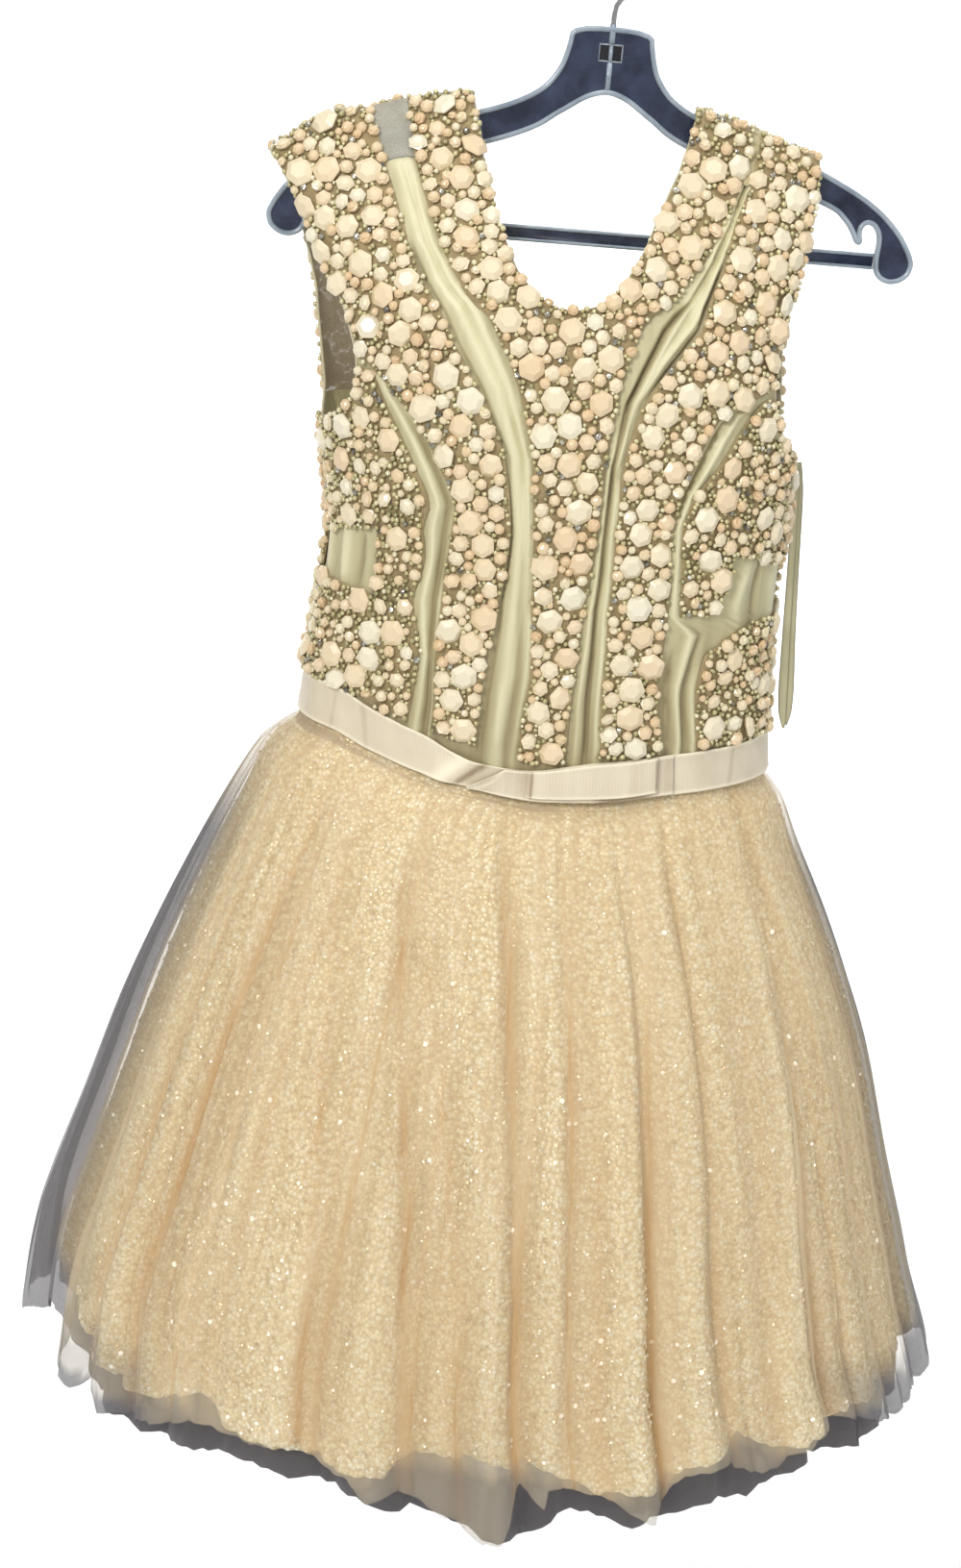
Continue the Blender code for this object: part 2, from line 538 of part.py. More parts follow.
curve = bpy.data.curves.new("hanger_hook", "CURVE")
curve.dimensions = "3D"
curve.bevel_depth = WIRE
curve.bevel_resolution = 3
curve.use_fill_caps = True
centre = HOOK_R + WIRE
route = [(0.0, -0.0627), (0.0, -0.0590), (0.0001, -0.0550), (0.0008, -0.0505), (0.0035, -0.0462), (0.0078, -0.0421)]
for k in range(22):
    a = radians(-52 + k * 12)
    route.append((centre * cos(a), -HOOK_R + centre * sin(a)))
spline = curve.splines.new("POLY")
spline.points.add(len(route) - 1)
for p, (x, z) in zip(spline.points, route):
    p.co = (x, 0.0, z, 1.0)
curve.materials.append(STEEL)
hook = bpy.data.objects.new("hanger_hook", curve)
bpy.context.scene.collection.objects.link(hook)
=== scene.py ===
# Looks of a sleeveless beaded mini dress on a moulded hanger.
# Metres, +Z up, front towards -Y, +X to the viewer's right, origin at the hook's inner top.
import bpy
import numpy as np
from math import radians, sin, cos, pi, sqrt
from mathutils import Matrix
from mathutils.geometry import tessellate_polygon


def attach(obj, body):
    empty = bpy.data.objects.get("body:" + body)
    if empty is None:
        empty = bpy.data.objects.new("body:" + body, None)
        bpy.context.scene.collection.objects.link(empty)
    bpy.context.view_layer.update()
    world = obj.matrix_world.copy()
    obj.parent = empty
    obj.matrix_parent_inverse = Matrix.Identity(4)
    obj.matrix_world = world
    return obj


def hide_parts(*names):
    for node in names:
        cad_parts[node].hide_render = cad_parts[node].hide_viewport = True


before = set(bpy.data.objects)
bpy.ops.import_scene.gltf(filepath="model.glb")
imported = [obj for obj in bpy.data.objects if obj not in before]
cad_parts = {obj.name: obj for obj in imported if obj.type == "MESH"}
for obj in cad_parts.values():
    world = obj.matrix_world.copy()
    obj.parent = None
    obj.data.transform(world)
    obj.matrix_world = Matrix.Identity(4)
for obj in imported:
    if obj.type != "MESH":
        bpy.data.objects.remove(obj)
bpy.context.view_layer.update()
MM = 0.001

# ------------------------------------------------------------------ body of the dress: the same tables as the solids
CHEST_Z = -0.240
SKIRT_HEAD = 6.0 * MM
SKIRT_LENGTH = 0.450
BODICE_FOOT = 0.010
# v, centre x, half width, front depth, back depth (mm), squareness
BODICE = (
    (0.00, -8.0, 162.0, 76.0, 72.0, 2.2), (0.20, -9.0, 155.0, 79.0, 72.0, 2.2), (0.45, -6.0, 151.0, 84.0, 74.0, 2.2),
    (0.70, -11.0, 156.0, 88.0, 78.0, 2.2), (0.85, -16.0, 158.0, 86.0, 74.0, 2.2), (1.00, -21.0, 160.0, 78.0, 66.0, 2.3),
    (1.30, -25.0, 164.0, 58.0, 50.0, 2.6), (1.60, -29.0, 170.0, 35.0, 32.0, 3.2), (1.85, -32.0, 177.0, 17.0, 16.0, 4.5),
    (1.95, -34.0, 180.0, 10.0, 10.0, 5.0), (2.00, -34.5, 181.0, 0.2, 0.2, 5.0),
)
WAIST = (
    (-180, -530.0), (-90, -519.0), (-60, -522.0), (-45, -531.0), (-30, -541.0), (-15, -548.5),
    (0, -553.5), (15, -552.0), (30, -547.0), (60, -541.0), (90, -537.0), (180, -530.0),
)
SHOULDER = (
    (-215, -156.0), (-195, -143.0), (-178, -131.0), (-155, -125.0), (-125, -116.0), (-83, -108.5),
    (60, -108.5), (80, -112.0), (100, -118.0), (118, -124.5), (132, -128.5), (146, -133.0),
)
# share of the skirt's length, centre x, half width, front depth, back depth (mm), squareness
SKIRT = (
    (0.00, -8.0, 160.0, 74.0, 70.0, 2.20), (0.02, -8.2, 160.5, 74.5, 70.5, 2.20), (0.06, -13.0, 179.0, 92.0, 86.0, 2.15),
    (0.14, -15.0, 198.0, 110.0, 102.0, 2.10), (0.26, -14.0, 225.0, 132.0, 124.0, 2.05), (0.46, -13.0, 263.0, 168.0, 158.0, 2.00),
    (0.65, -14.0, 290.0, 197.0, 186.0, 2.00), (0.83, -14.0, 316.0, 219.0, 208.0, 2.00), (1.00, -6.0, 335.0, 234.0, 222.0, 2.00),
    (1.10, -4.0, 340.0, 242.0, 230.0, 2.00),
)
# share of the length, inset from the overlay (mm), shift of the layer towards +X (mm)
SEQUIN_INSET = ((0.0, 1.9, 0.0), (0.02, 2.0, 0.0), (0.06, 5.0, 1.0), (0.14, 8.0, 3.0), (0.46, 13.0, 7.0), (1.0, 16.0, 8.0))
UNDER_INSET = ((0.0, 4.2, 0.0), (0.02, 4.4, 0.0), (0.06, 9.0, 1.0), (0.14, 14.0, 3.0), (0.46, 24.0, 5.0), (1.0, 31.0, 5.0))
# folds of the skirt: angle at the waist, angle at the hem, half width (degrees), depth at the hem (mm), share where it starts
FOLDS = (
    (-84, -80, 7, 15.0, 0.03), (-70, -67, 5, 12.0, 0.10), (-60, -59, 5, 10.0, 0.25), (-46, -52, 5, 17.0, 0.02),
    (-50, -40, 4, 7.0, 0.30), (-45, -25, 5, 12.0, 0.02), (-31, -12, 4, 20.0, 0.10), (-25, -5, 5, 9.0, 0.04),
    (-8, 2, 4, 17.0, 0.03), (6, 8, 3, 8.0, 0.02), (9, 13, 4, 11.0, 0.20), (18, 20, 4, 14.0, 0.02),
    (30, 30, 4, 13.0, 0.02), (40, 38, 4, 8.0, 0.25), (54, 47, 5, 14.0, 0.02), (66, 60, 5, 10.0, 0.20), (80, 76, 6, 13.0, 0.04),
    (96, 94, 6, 13.0, 0.05), (108, 106, 5, 9.0, 0.20), (118, 121, 5, 15.0, 0.03), (131, 135, 5, 9.0, 0.25), (143, 147, 6, 17.0, 0.02),
    (158, 160, 4, 9.0, 0.15), (169, 170, 5, 14.0, 0.02), (181, 181, 5, 10.0, 0.08), (194, 192, 4, 15.0, 0.02), (207, 205, 5, 8.0, 0.30),
    (217, 219, 5, 16.0, 0.03), (230, 232, 5, 10.0, 0.20), (243, 246, 6, 14.0, 0.04), (258, 259, 5, 9.0, 0.15),
)
# hems: angle, height (mm)
OVERLAY_HEM = (
    (-90, -972), (-87, -978), (-78, -959), (-73, -941), (-70, -946), (-66, -962), (-61, -983), (-58, -970), (-56, -978),
    (-55, -990), (-51, -986), (-44, -976), (-37, -964), (-27, -967), (-18, -979), (-16, -990), (-10, -992), (-6, -1002),
    (-3, -1011), (0, -1012), (1, -1006), (2.2, -978), (5, -994), (5.6, -977), (11, -985), (14, -990), (18, -1001),
    (20, -998), (21, -981), (25, -971), (29, -968), (29.6, -976), (33, -981), (36, -980), (45, -958), (48, -961),
    (59, -977), (63, -982), (67, -975), (78, -984), (84, -973), (90, -971), (98, -982), (112, -970), (118, -988),
    (127, -992), (129, -976), (141, -968), (150, -984), (160, -990), (162, -975), (174, -982), (181, -996), (190, -991),
    (192, -973), (204, -968), (216, -985), (224, -994), (227, -976), (240, -969), (250, -983), (259, -977), (270, -972),
)
SEQUIN_HEM = (
    (-90, -950), (-74, -962), (-62, -970), (-52, -981), (-47, -966), (-41, -956), (-38, -972), (-34, -978), (-27, -976),
    (-22, -989), (-16, -984), (-14, -972), (-8, -969), (-2, -967), (2, -972), (7, -980), (11, -993), (19, -985),
    (27, -971), (31, -959), (35, -971), (39, -976), (44, -970), (55, -962), (70, -955), (90, -950), (110, -961),
    (130, -955), (150, -968), (170, -960), (185, -971), (205, -962), (225, -970), (245, -958), (270, -950),
)
UNDER_HEM = (
    (-90, -988), (-75, -996), (-62, -1000), (-50, -1002), (-38, -990), (-26, -994), (-16, -1004), (-8, -1008), (-2, -1020), (2, -1022),
    (8, -1000), (14, -1008), (20, -1012), (27, -1000), (34, -1003), (40, -992), (50, -988), (60, -998), (75, -996), (90, -990),
    (110, -998), (130, -988), (150, -1002), (170, -996), (190, -1006), (210, -992), (230, -1001), (250, -991), (270, -988),
)

# ------------------------------------------------------------------ edges of the bodice: v, left, right
NECK = (
    (1.045, 1.5, 1.5), (1.05, -1.6, 5.0), (1.065, -3.7, 7.5), (1.09, -5.4, 9.4), (1.12, -6.9, 11.0), (1.21, -10.2, 14.6), (1.34, -12.4, 18.6),
    (1.47, -14.0, 21.4), (1.70, -15.5, 26.5), (2.00, -16.0, 31.0),
)
ARMHOLE = (
    (0.700, -89.9, 89.9), (0.712, -84.0, 85.0), (0.726, -74.0, 76.5), (0.745, -66.0, 69.5), (0.78, -60.0, 64.0), (0.85, -56.0, 60.5), (0.92, -57.0, 61.0), (1.00, -60.5, 64.5),
    (1.15, -67.0, 69.5), (1.30, -72.0, 74.0), (1.50, -75.0, 78.5), (1.70, -76.5, 78.5), (2.00, -78.0, 75.0),
)
SCOOP = (
    (0.57, 0.15, 0.15), (0.60, 6.0, 6.0), (0.66, 13.0, 13.0), (0.78, 20.0, 22.0), (1.00, 22.0, 29.0), (1.50, 20.0, 33.0), (2.00, 16.0, 31.0),
)
BACK_ARM = ((0.700, 89.9), (0.712, 86.0), (0.745, 80.5), (0.78, 77.5), (1.00, 76.0), (1.30, 78.0), (1.70, 78.0), (2.00, 76.5))

# beaded bands: v, left edge, right edge (degrees)
NECK_LEFT = ((1.045, -22.0, -1.5), (1.06, -22.3, -3.4), (1.12, -23.5, -7.4), (1.21, -26.0, -10.6), (1.30, -28.0, -12.0), (1.50, -30.0, -14.6), (1.70, -31.5, -15.9), (1.985, -30.5, -16.4))
NECK_RIGHT = ((1.045, 4.0, 20.5), (1.06, 6.8, 21.5), (1.12, 11.3, 26.0), (1.21, 15.0, 29.5), (1.30, 17.8, 33.5), (1.50, 22.5, 40.0), (1.70, 27.0, 43.5), (1.985, 31.2, 45.5))
CENTRE = (
    (0.085, -6.5, 5.0), (0.27, -5.5, 5.5), (0.42, -8.0, 5.0), (0.57, -8.5, 7.0), (0.72, -8.5, 8.5),
    (0.85, -11.0, 11.5), (0.92, -13.5, 14.0), (1.00, -18.0, 18.0), (1.045, -22.0, 20.5),
)
OUTER_LEFT_UP = ((0.92, -56.0, -25.5), (1.00, -59.5, -29.5), (1.12, -65.0, -32.5), (1.30, -71.0, -36.0), (1.50, -73.5, -37.5), (1.70, -75.0, -39.0), (1.985, -76.0, -39.5))
OUTER_LEFT_LOW = ((0.10, -28.0, -16.5), (0.16, -28.3, -17.0), (0.27, -30.0, -17.0), (0.45, -31.0, -15.3), (0.54, -29.3, -14.0), (0.60, -27.8, -13.8), (0.65, -30.3, -14.0), (0.72, -34.3, -15.0), (0.77, -38.3, -16.8), (0.83, -45.5, -19.5), (0.86, -50.5, -21.5), (0.88, -55.3, -22.8), (0.92, -55.5, -25.0))
OUTER_RIGHT_UP = ((0.92, 25.0, 60.0), (1.00, 33.0, 63.5), (1.12, 35.0, 67.5), (1.30, 39.0, 72.5), (1.50, 42.0, 76.5), (1.70, 46.0, 77.0), (1.985, 48.5, 74.0))
OUTER_RIGHT_LOW = ((0.10, 13.0, 29.0), (0.27, 12.5, 27.5), (0.42, 11.0, 27.0), (0.52, 11.0, 26.0), (0.60, 11.4, 26.1), (0.66, 11.8, 28.0), (0.72, 12.5, 31.1), (0.78, 14.5, 34.9), (0.82, 16.2, 38.5), (0.855, 18.2, 46.5), (0.875, 20.0, 59.8), (0.92, 24.5, 59.8))
SIDE_LEFT = (
    ((0.105, -89.5, -35.0), (0.14, -89.5, -34.6), (0.26, -89.5, -33.6), (0.31, -89.5, -36.0), (0.345, -89.5, -38.0)),
    ((0.345, -52.5, -38.0), (0.38, -52.5, -39.0), (0.46, -53.0, -36.5), (0.50, -53.0, -36.8)),
    ((0.45, -89.5, -83.0), (0.50, -89.5, -53.0)),
    ((0.50, -89.5, -36.8), (0.54, -89.5, -37.5), (0.58, -89.5, -35.0), (0.62, -89.5, -35.6), (0.66, -89.5, -38.7), (0.695, -89.0, -40.5), (0.712, -82.5, -41.6), (0.735, -70.0, -43.2), (0.76, -63.0, -45.0), (0.79, -59.0, -46.8), (0.83, -56.3, -48.6), (0.855, -56.0, -51.0)),
)
SIDE_RIGHT = (
    ((0.10, 40.0, 89.5), (0.24, 38.5, 89.5), (0.31, 40.5, 89.5), (0.35, 50.0, 89.5), (0.37, 58.0, 74.0)),
    ((0.40, 30.4, 41.5), (0.42, 30.4, 43.5), (0.49, 29.6, 46.5), (0.53, 28.5, 46.0)),
    ((0.495, 68.0, 89.5), (0.53, 46.0, 89.5)),
    ((0.53, 28.4, 89.5), (0.58, 27.4, 89.5), (0.64, 30.1, 89.5), (0.69, 34.3, 89.0), (0.712, 37.4, 83.5), (0.73, 39.3, 75.5), (0.75, 41.2, 69.5), (0.78, 44.0, 65.0), (0.82, 48.5, 62.0), (0.855, 54.5, 61.0)),
)
# counted from centre back
BACK_UP = ((0.77, 24.5, 76.0), (1.00, 30.5, 74.5), (1.30, 32.5, 75.5), (1.50, 33.5, 75.5), (1.70, 33.0, 75.0), (1.985, 31.5, 75.0))
BACK_IN = ((0.10, 2.0, 15.0), (0.27, 2.0, 14.0), (0.42, 2.0, 15.0), (0.57, 3.0, 21.0), (0.66, 14.5, 29.0), (0.77, 21.5, 37.0))
BACK_OUT = ((0.10, 29.0, 44.0), (0.27, 30.0, 45.0), (0.42, 33.0, 49.0), (0.57, 37.0, 55.0), (0.77, 43.0, 66.0))
BACK_SIDE = ((0.10, 57.0, 89.5), (0.27, 60.0, 89.5), (0.42, 63.0, 89.5), (0.57, 65.0, 89.5), (0.71, 72.0, 88.0))

# bare channels of cloth between the bands: v, left edge, right edge
LEFT_INNER = ((0.0, -16, -6.5), (0.12, -16, -6.5), (0.27, -15.5, -5.5), (0.42, -15.5, -8.0), (0.57, -14, -8.5), (0.72, -15, -8.5), (0.85, -20.5, -11), (0.92, -25, -13.5), (1.0, -29, -18), (1.12, -32.5, -23.5), (1.3, -36, -28), (1.5, -37.5, -30), (1.7, -39, -31.5))
RIGHT_INNER = ((0.0, 5, 13), (0.12, 5, 13), (0.27, 5.5, 12.5), (0.42, 5, 11), (0.57, 7, 11), (0.72, 8.5, 12.5), (0.85, 11.5, 17.5), (0.92, 14, 24.5), (1.0, 18, 33), (1.12, 26, 35), (1.3, 33.5, 39), (1.5, 40, 42), (1.7, 43.5, 46))
LEFT_OUTER = ((0.0, -35.5, -28), (0.16, -34.5, -28.3), (0.26, -33.5, -30), (0.31, -36, -30.3), (0.38, -39, -30.3), (0.46, -36.5, -31), (0.54, -37.5, -29.3), (0.60, -35.3, -27.8), (0.66, -38.7, -30.5), (0.72, -42, -34.3), (0.78, -46, -39), (0.83, -48.6, -45.4), (0.87, -52, -51))
RIGHT_OUTER = ((0.0, 29, 40), (0.12, 29, 40), (0.24, 27.5, 38.5), (0.31, 27.3, 41), (0.36, 27.1, 44), (0.40, 27, 30.4), (0.49, 26.4, 29.6), (0.60, 26.1, 28.3), (0.66, 28, 31.5), (0.72, 31.1, 38.3), (0.78, 34.9, 44), (0.82, 38.5, 48.5), (0.86, 50, 55))
LEFT_PATCH = ((0.33, -89.5, -52.5), (0.51, -89.5, -52.5))
RIGHT_PATCH = ((0.34, 44.0, 89.5), (0.54, 44.0, 89.5))
BACK_INNER_R = ((0.0, 151, 165), (0.12, 151, 165), (0.42, 147, 165), (0.57, 143, 159), (0.66, 140, 151), (0.77, 137, 143), (1.00, 134, 143))
BACK_OUTER_R = ((0.0, 91, 136), (0.12, 123, 136), (0.42, 117, 131), (0.57, 115, 125), (0.72, 108, 116), (0.77, 105, 114), (1.00, 107, 116))
CENTRE_HEM_L = ((0.0, 15.5, 13), (0.12, 15, 13))
# folds of the cloth in a channel: channel, (v low, v high), (share across at low, at high), half width (mm), height (mm)
CHANNEL_FOLDS = (
    (LEFT_INNER, (0.0, 1.75), (0.44, 0.40), 8.0, 3.0), (LEFT_INNER, (0.50, 1.75), (0.80, 0.80), 4.0, 1.4), (LEFT_INNER, (0.62, 1.70), (0.60, 0.58), 2.2, -1.5),
    (LEFT_INNER, (0.0, 0.85), (0.76, 0.60), 2.8, -1.9), (LEFT_INNER, (0.0, 0.42), (0.92, 0.94), 3.0, 1.6), (LEFT_INNER, (0.0, 1.30), (0.06, 0.06), 2.2, -1.7),
    (RIGHT_INNER, (0.0, 0.80), (0.26, 0.26), 3.0, 3.0), (RIGHT_INNER, (0.0, 1.12), (0.60, 0.40), 2.0, -4.8), (RIGHT_INNER, (0.0, 0.70), (0.90, 0.80), 3.0, 2.6),
    (RIGHT_INNER, (0.70, 1.60), (0.70, 0.24), 3.8, 2.6), (RIGHT_INNER, (0.82, 1.75), (0.44, 0.46), 2.2, -4.2),
    (RIGHT_INNER, (0.80, 1.75), (0.78, 0.80), 3.4, 3.2), (RIGHT_INNER, (0.86, 1.30), (0.95, 0.97), 2.0, -3.0),
    (LEFT_OUTER, (0.0, 0.86), (0.34, 0.48), 4.0, 3.2), (LEFT_OUTER, (0.0, 0.78), (0.70, 0.76), 2.4, -3.0), (LEFT_OUTER, (0.0, 0.45), (0.90, 0.88), 2.6, 2.4),
    (RIGHT_OUTER, (0.0, 0.85), (0.42, 0.55), 3.4, 3.2), (RIGHT_OUTER, (0.0, 0.40), (0.72, 0.68), 2.6, -3.2), (RIGHT_OUTER, (0.58, 0.85), (0.22, 0.24), 2.2, -3.2), (RIGHT_OUTER, (0.0, 0.34), (0.16, 0.20), 2.6, -2.6), (RIGHT_OUTER, (0.0, 0.30), (0.92, 0.88), 2.8, 2.6),
    (LEFT_PATCH, (0.33, 0.51), (0.30, 0.26), 6.0, 2.4), (LEFT_PATCH, (0.33, 0.51), (0.62, 0.56), 4.0, 3.2), (LEFT_PATCH, (0.33, 0.51), (0.80, 0.78), 2.8, -3.0),
    (RIGHT_PATCH, (0.34, 0.54), (0.14, 0.20), 4.0, 2.6), (RIGHT_PATCH, (0.34, 0.54), (0.34, 0.36), 2.8, -2.8), (RIGHT_PATCH, (0.34, 0.54), (0.60, 0.58), 6.0, 2.4),
    (BACK_INNER_R, (0.0, 0.77), (0.26, 0.32), 6.5, 3.0), (BACK_INNER_R, (0.0, 0.72), (0.54, 0.58), 2.4, -2.4), (BACK_INNER_R, (0.0, 0.6), (0.80, 0.80), 5.0, 2.0), (BACK_INNER_R, (0.0, 0.40), (0.42, 0.36), 2.2, -1.8),
    (BACK_OUTER_R, (0.02, 0.77), (0.66, 0.36), 4.0, 3.0), (BACK_OUTER_R, (0.02, 0.72), (0.84, 0.66), 3.0, -2.4),
)
# waistband: angle, v of the upper edge
BAND_TOP = ((-180, .092), (-90, .100), (-60, .104), (-45, .096), (-30, .088), (-22, .070), (-12, .060), (-4, .066), (15, .090), (60, .095), (90, .098), (180, .092), (270, .100))
BOW = (-3.5, 28.0)


# ------------------------------------------------------------------ tables as smooth or straight lines
def smooth(rows, col):
    xs = np.array([r[0] for r in rows], float)
    ys = np.array([r[col] for r in rows], float)
    d = np.diff(ys) / np.diff(xs)
    m = np.zeros(len(xs))
    m[0], m[-1] = d[0], d[-1]
    for i in range(1, len(d)):
        m[i] = 0.0 if d[i - 1] * d[i] <= 0 else 2 * d[i - 1] * d[i] / (d[i - 1] + d[i])

    def read(x):
        x = np.clip(np.asarray(x, float), xs[0], xs[-1])
        i = np.clip(np.searchsorted(xs, x, side="right") - 1, 0, len(xs) - 2)
        h = xs[i + 1] - xs[i]
        s = (x - xs[i]) / h
        return (
            (1 + 2 * s) * (1 - s) ** 2 * ys[i] + s * (1 - s) ** 2 * h * m[i]
            + s * s * (3 - 2 * s) * ys[i + 1] + s * s * (s - 1) * h * m[i + 1]
        )

    return read


def straight(rows, col):
    xs = [r[0] for r in rows]
    ys = [r[col] for r in rows]
    return lambda x: np.interp(x, xs, ys)


BODICE_F = [smooth(BODICE, k) for k in range(1, 6)]
SKIRT_F = [smooth(SKIRT, k) for k in range(1, 6)]
WAIST_F = smooth(WAIST, 1)
SHOULDER_F = smooth(SHOULDER, 1)


def turn(angle):
    return (np.asarray(angle, float) + 180.0) % 360.0 - 180.0


def noise1(x, seed, octaves=3):
    """A smooth uneven line between -1 and 1."""
    total = np.zeros_like(np.asarray(x, float))
    size, rough = 1.0, 1.0
    for k in range(octaves):
        a = sin(seed * 12.9898 + k * 4.1) * 43758.5453
        b = sin(seed * 78.233 + k * 1.7) * 24634.6345
        total = total + size * (np.sin(x * rough + a) * 0.6 + np.sin(x * rough * 1.73 + b) * 0.4)
        size *= 0.5
        rough *= 2.1
    return total / 1.6


def section(angle, half, front, back, n, x0):
    s, c = np.sin(np.radians(angle)), np.cos(np.radians(angle))
    depth = np.where(c >= 0, front, back)
    y = depth * np.maximum(1 - np.abs(s) ** n, 0.0) ** (1 / n)
    return (x0 + half * s) * MM, np.where(c >= 0, -y, y) * MM


def bodice(angle, v):
    angle, v = np.broadcast_arrays(np.asarray(angle, float), np.asarray(v, float))
    x0, half, front, back, n = (f(v) for f in BODICE_F)
    x, y = section(angle, half, front, back, n, x0)
    foot = WAIST_F(turn(angle)) * MM
    top = SHOULDER_F(x / MM) * MM
    z = np.where(v <= 1, foot + v * (CHEST_Z - foot), CHEST_Z + (v - 1) * (top - CHEST_Z))
    return np.stack([x, y, z], -1)


def outward(surface, angle, v, da=0.5, dv=0.004, low=0.0, high=1.999, sign=1.0):
    along = surface(angle + da, v) - surface(angle - da, v)
    up = surface(angle, np.minimum(v + dv, high)) - surface(angle, np.maximum(v - dv, low))
    n = np.cross(along, up) * sign
    return n / np.maximum(np.linalg.norm(n, axis=-1, keepdims=True), 1e-9)


def mm_per_degree(angle, v):
    return np.linalg.norm(bodice(angle + 0.5, v) - bodice(angle - 0.5, v), axis=-1) / MM


# ------------------------------------------------------------------ meshes
def build(name, points, faces, materials, smooth_shade=True, slots=None, attrs=None):
    """points (N,3); faces a list of index arrays of shape (F,3) or (F,4)."""
    points = np.asarray(points, np.float32)
    faces = [np.asarray(f, np.int32) for f in faces if len(f)]
    mesh = bpy.data.meshes.new(name)
    mesh.vertices.add(len(points))
    mesh.vertices.foreach_set("co", points.ravel())
    loops = np.concatenate([f.ravel() for f in faces])
    totals = np.concatenate([np.full(len(f), f.shape[1], np.int32) for f in faces])
    starts = np.concatenate([[0], np.cumsum(totals)[:-1]]).astype(np.int32)
    mesh.loops.add(len(loops))
    mesh.loops.foreach_set("vertex_index", loops)
    mesh.polygons.add(len(totals))
    mesh.polygons.foreach_set("loop_start", starts)
    if slots is not None:
        mesh.polygons.foreach_set("material_index", np.asarray(slots, np.int32))
    mesh.polygons.foreach_set("use_smooth", np.full(len(totals), smooth_shade, bool))
    mesh.update(calc_edges=True)
    for key, values in (attrs or {}).items():
        values = np.asarray(values, np.float32)
        kind = "FLOAT" if values.ndim == 1 else "FLOAT_VECTOR"
        layer = mesh.attributes.new(key, kind, "POINT")
        layer.data.foreach_set("value" if kind == "FLOAT" else "vector", values.ravel())
    for mat in materials:
        mesh.materials.append(mat)
    obj = bpy.data.objects.new(name, mesh)
    bpy.context.scene.collection.objects.link(obj)
    return obj


def grid_faces(rows, cols, first=0, flip=False):
    r, c = np.meshgrid(np.arange(rows - 1), np.arange(cols - 1), indexing="ij")
    a = first + r * cols + c
    quad = np.stack([a, a + 1, a + cols + 1, a + cols], -1).reshape(-1, 4)
    return quad[:, ::-1] if flip else quad


def point_normals(points, faces):
    n = np.zeros_like(points)
    a, b, c, d = (points[faces[:, k]] for k in range(4))
    face = np.cross(c - a, d - b)
    for k in range(4):
        np.add.at(n, faces[:, k], face)
    return n / np.maximum(np.linalg.norm(n, axis=1, keepdims=True), 1e-12)


def weld(points, faces, attrs, within=2e-6):
    key = np.round(points / within).astype(np.int64)
    _, first, index = np.unique(key, axis=0, return_index=True, return_inverse=True)
    index = index.reshape(-1)
    faces = index[faces]
    good = np.array([len(set(f)) == 4 for f in faces])
    return points[first], faces[good], {k: v[first] for k, v in attrs.items()}


def cloth(name, points, faces, thick, materials, attrs=None, slot_of=None, offset=None):
    """A closed wall from an outer sheet of quads: the inner face lies thick behind it."""
    attrs = dict(attrs or {})
    normals = point_normals(points, faces)
    inner = points - normals * thick
    count = len(points)
    edges = np.concatenate([faces[:, [0, 1]], faces[:, [1, 2]], faces[:, [2, 3]], faces[:, [3, 0]]])
    code = edges[:, 0].astype(np.int64) * count + edges[:, 1]
    back = edges[:, 1].astype(np.int64) * count + edges[:, 0]
    rim = edges[~np.isin(code, back)]
    rims = np.stack([rim[:, 1], rim[:, 0], rim[:, 0] + count, rim[:, 1] + count], -1)
    owner = np.tile(np.arange(len(faces)), 4)[~np.isin(code, back)]
    slots = None
    if slot_of is not None:
        base = slot_of
        slots = np.concatenate([base, base, base[owner]])
    both = {k: np.concatenate([v, v]) for k, v in attrs.items()}
    return build(name, np.concatenate([points, inner]), [faces, faces[:, ::-1] + count, rims], materials, True, slots, both)


# ------------------------------------------------------------------ materials
def new_material(name):
    mat = bpy.data.materials.new(name)
    mat.use_nodes = True
    tree = mat.node_tree
    shader = tree.nodes["Principled BSDF"]
    return mat, tree, shader


def node(tree, kind, **values):
    made = tree.nodes.new(kind)
    for key, value in values.items():
        if key in made.inputs.keys():
            made.inputs[key].default_value = value
        else:
            setattr(made, key, value)
    return made


def ramp(tree, source, stops):
    made = node(tree, "ShaderNodeValToRGB")
    tree.links.new(source, made.inputs["Fac"])
    elements = made.color_ramp.elements
    while len(elements) < len(stops):
        elements.new(0.5)
    for element, (at, colour) in zip(elements, stops):
        element.position = at
        element.color = (*colour, 1.0)
    return made.outputs["Color"]


def mix(tree, fac, a, b, blend="MIX"):
    made = tree.nodes.new("ShaderNodeMix")
    made.data_type = "RGBA"
    made.blend_type = blend
    for socket, value in ((made.inputs[0], fac), (made.inputs[6], a), (made.inputs[7], b)):
        if isinstance(value, (int, float)):
            socket.default_value = value
        elif isinstance(value, tuple):
            socket.default_value = (*value, 1.0)
        else:
            tree.links.new(value, socket)
    return made.outputs[2]


def maths(tree, operation, a, b=None, clamp=False):
    made = node(tree, "ShaderNodeMath", operation=operation, use_clamp=clamp)
    for socket, value in ((made.inputs[0], a), (made.inputs[1], b)):
        if value is None:
            continue
        if isinstance(value, (int, float)):
            socket.default_value = value
        else:
            tree.links.new(value, socket)
    return made.outputs[0]


def position(tree):
    return node(tree, "ShaderNodeTexCoord").outputs["Object"]


def noise(tree, scale, detail=2.0, rough=0.5, vector=None, stretch=None):
    vector = vector or position(tree)
    if stretch:
        mapping = node(tree, "ShaderNodeMapping")
        mapping.inputs["Scale"].default_value = stretch
        tree.links.new(vector, mapping.inputs["Vector"])
        vector = mapping.outputs["Vector"]
    made = node(tree, "ShaderNodeTexNoise", Scale=scale, Detail=detail, Roughness=rough)
    tree.links.new(vector, made.inputs["Vector"])
    return made.outputs["Fac"]


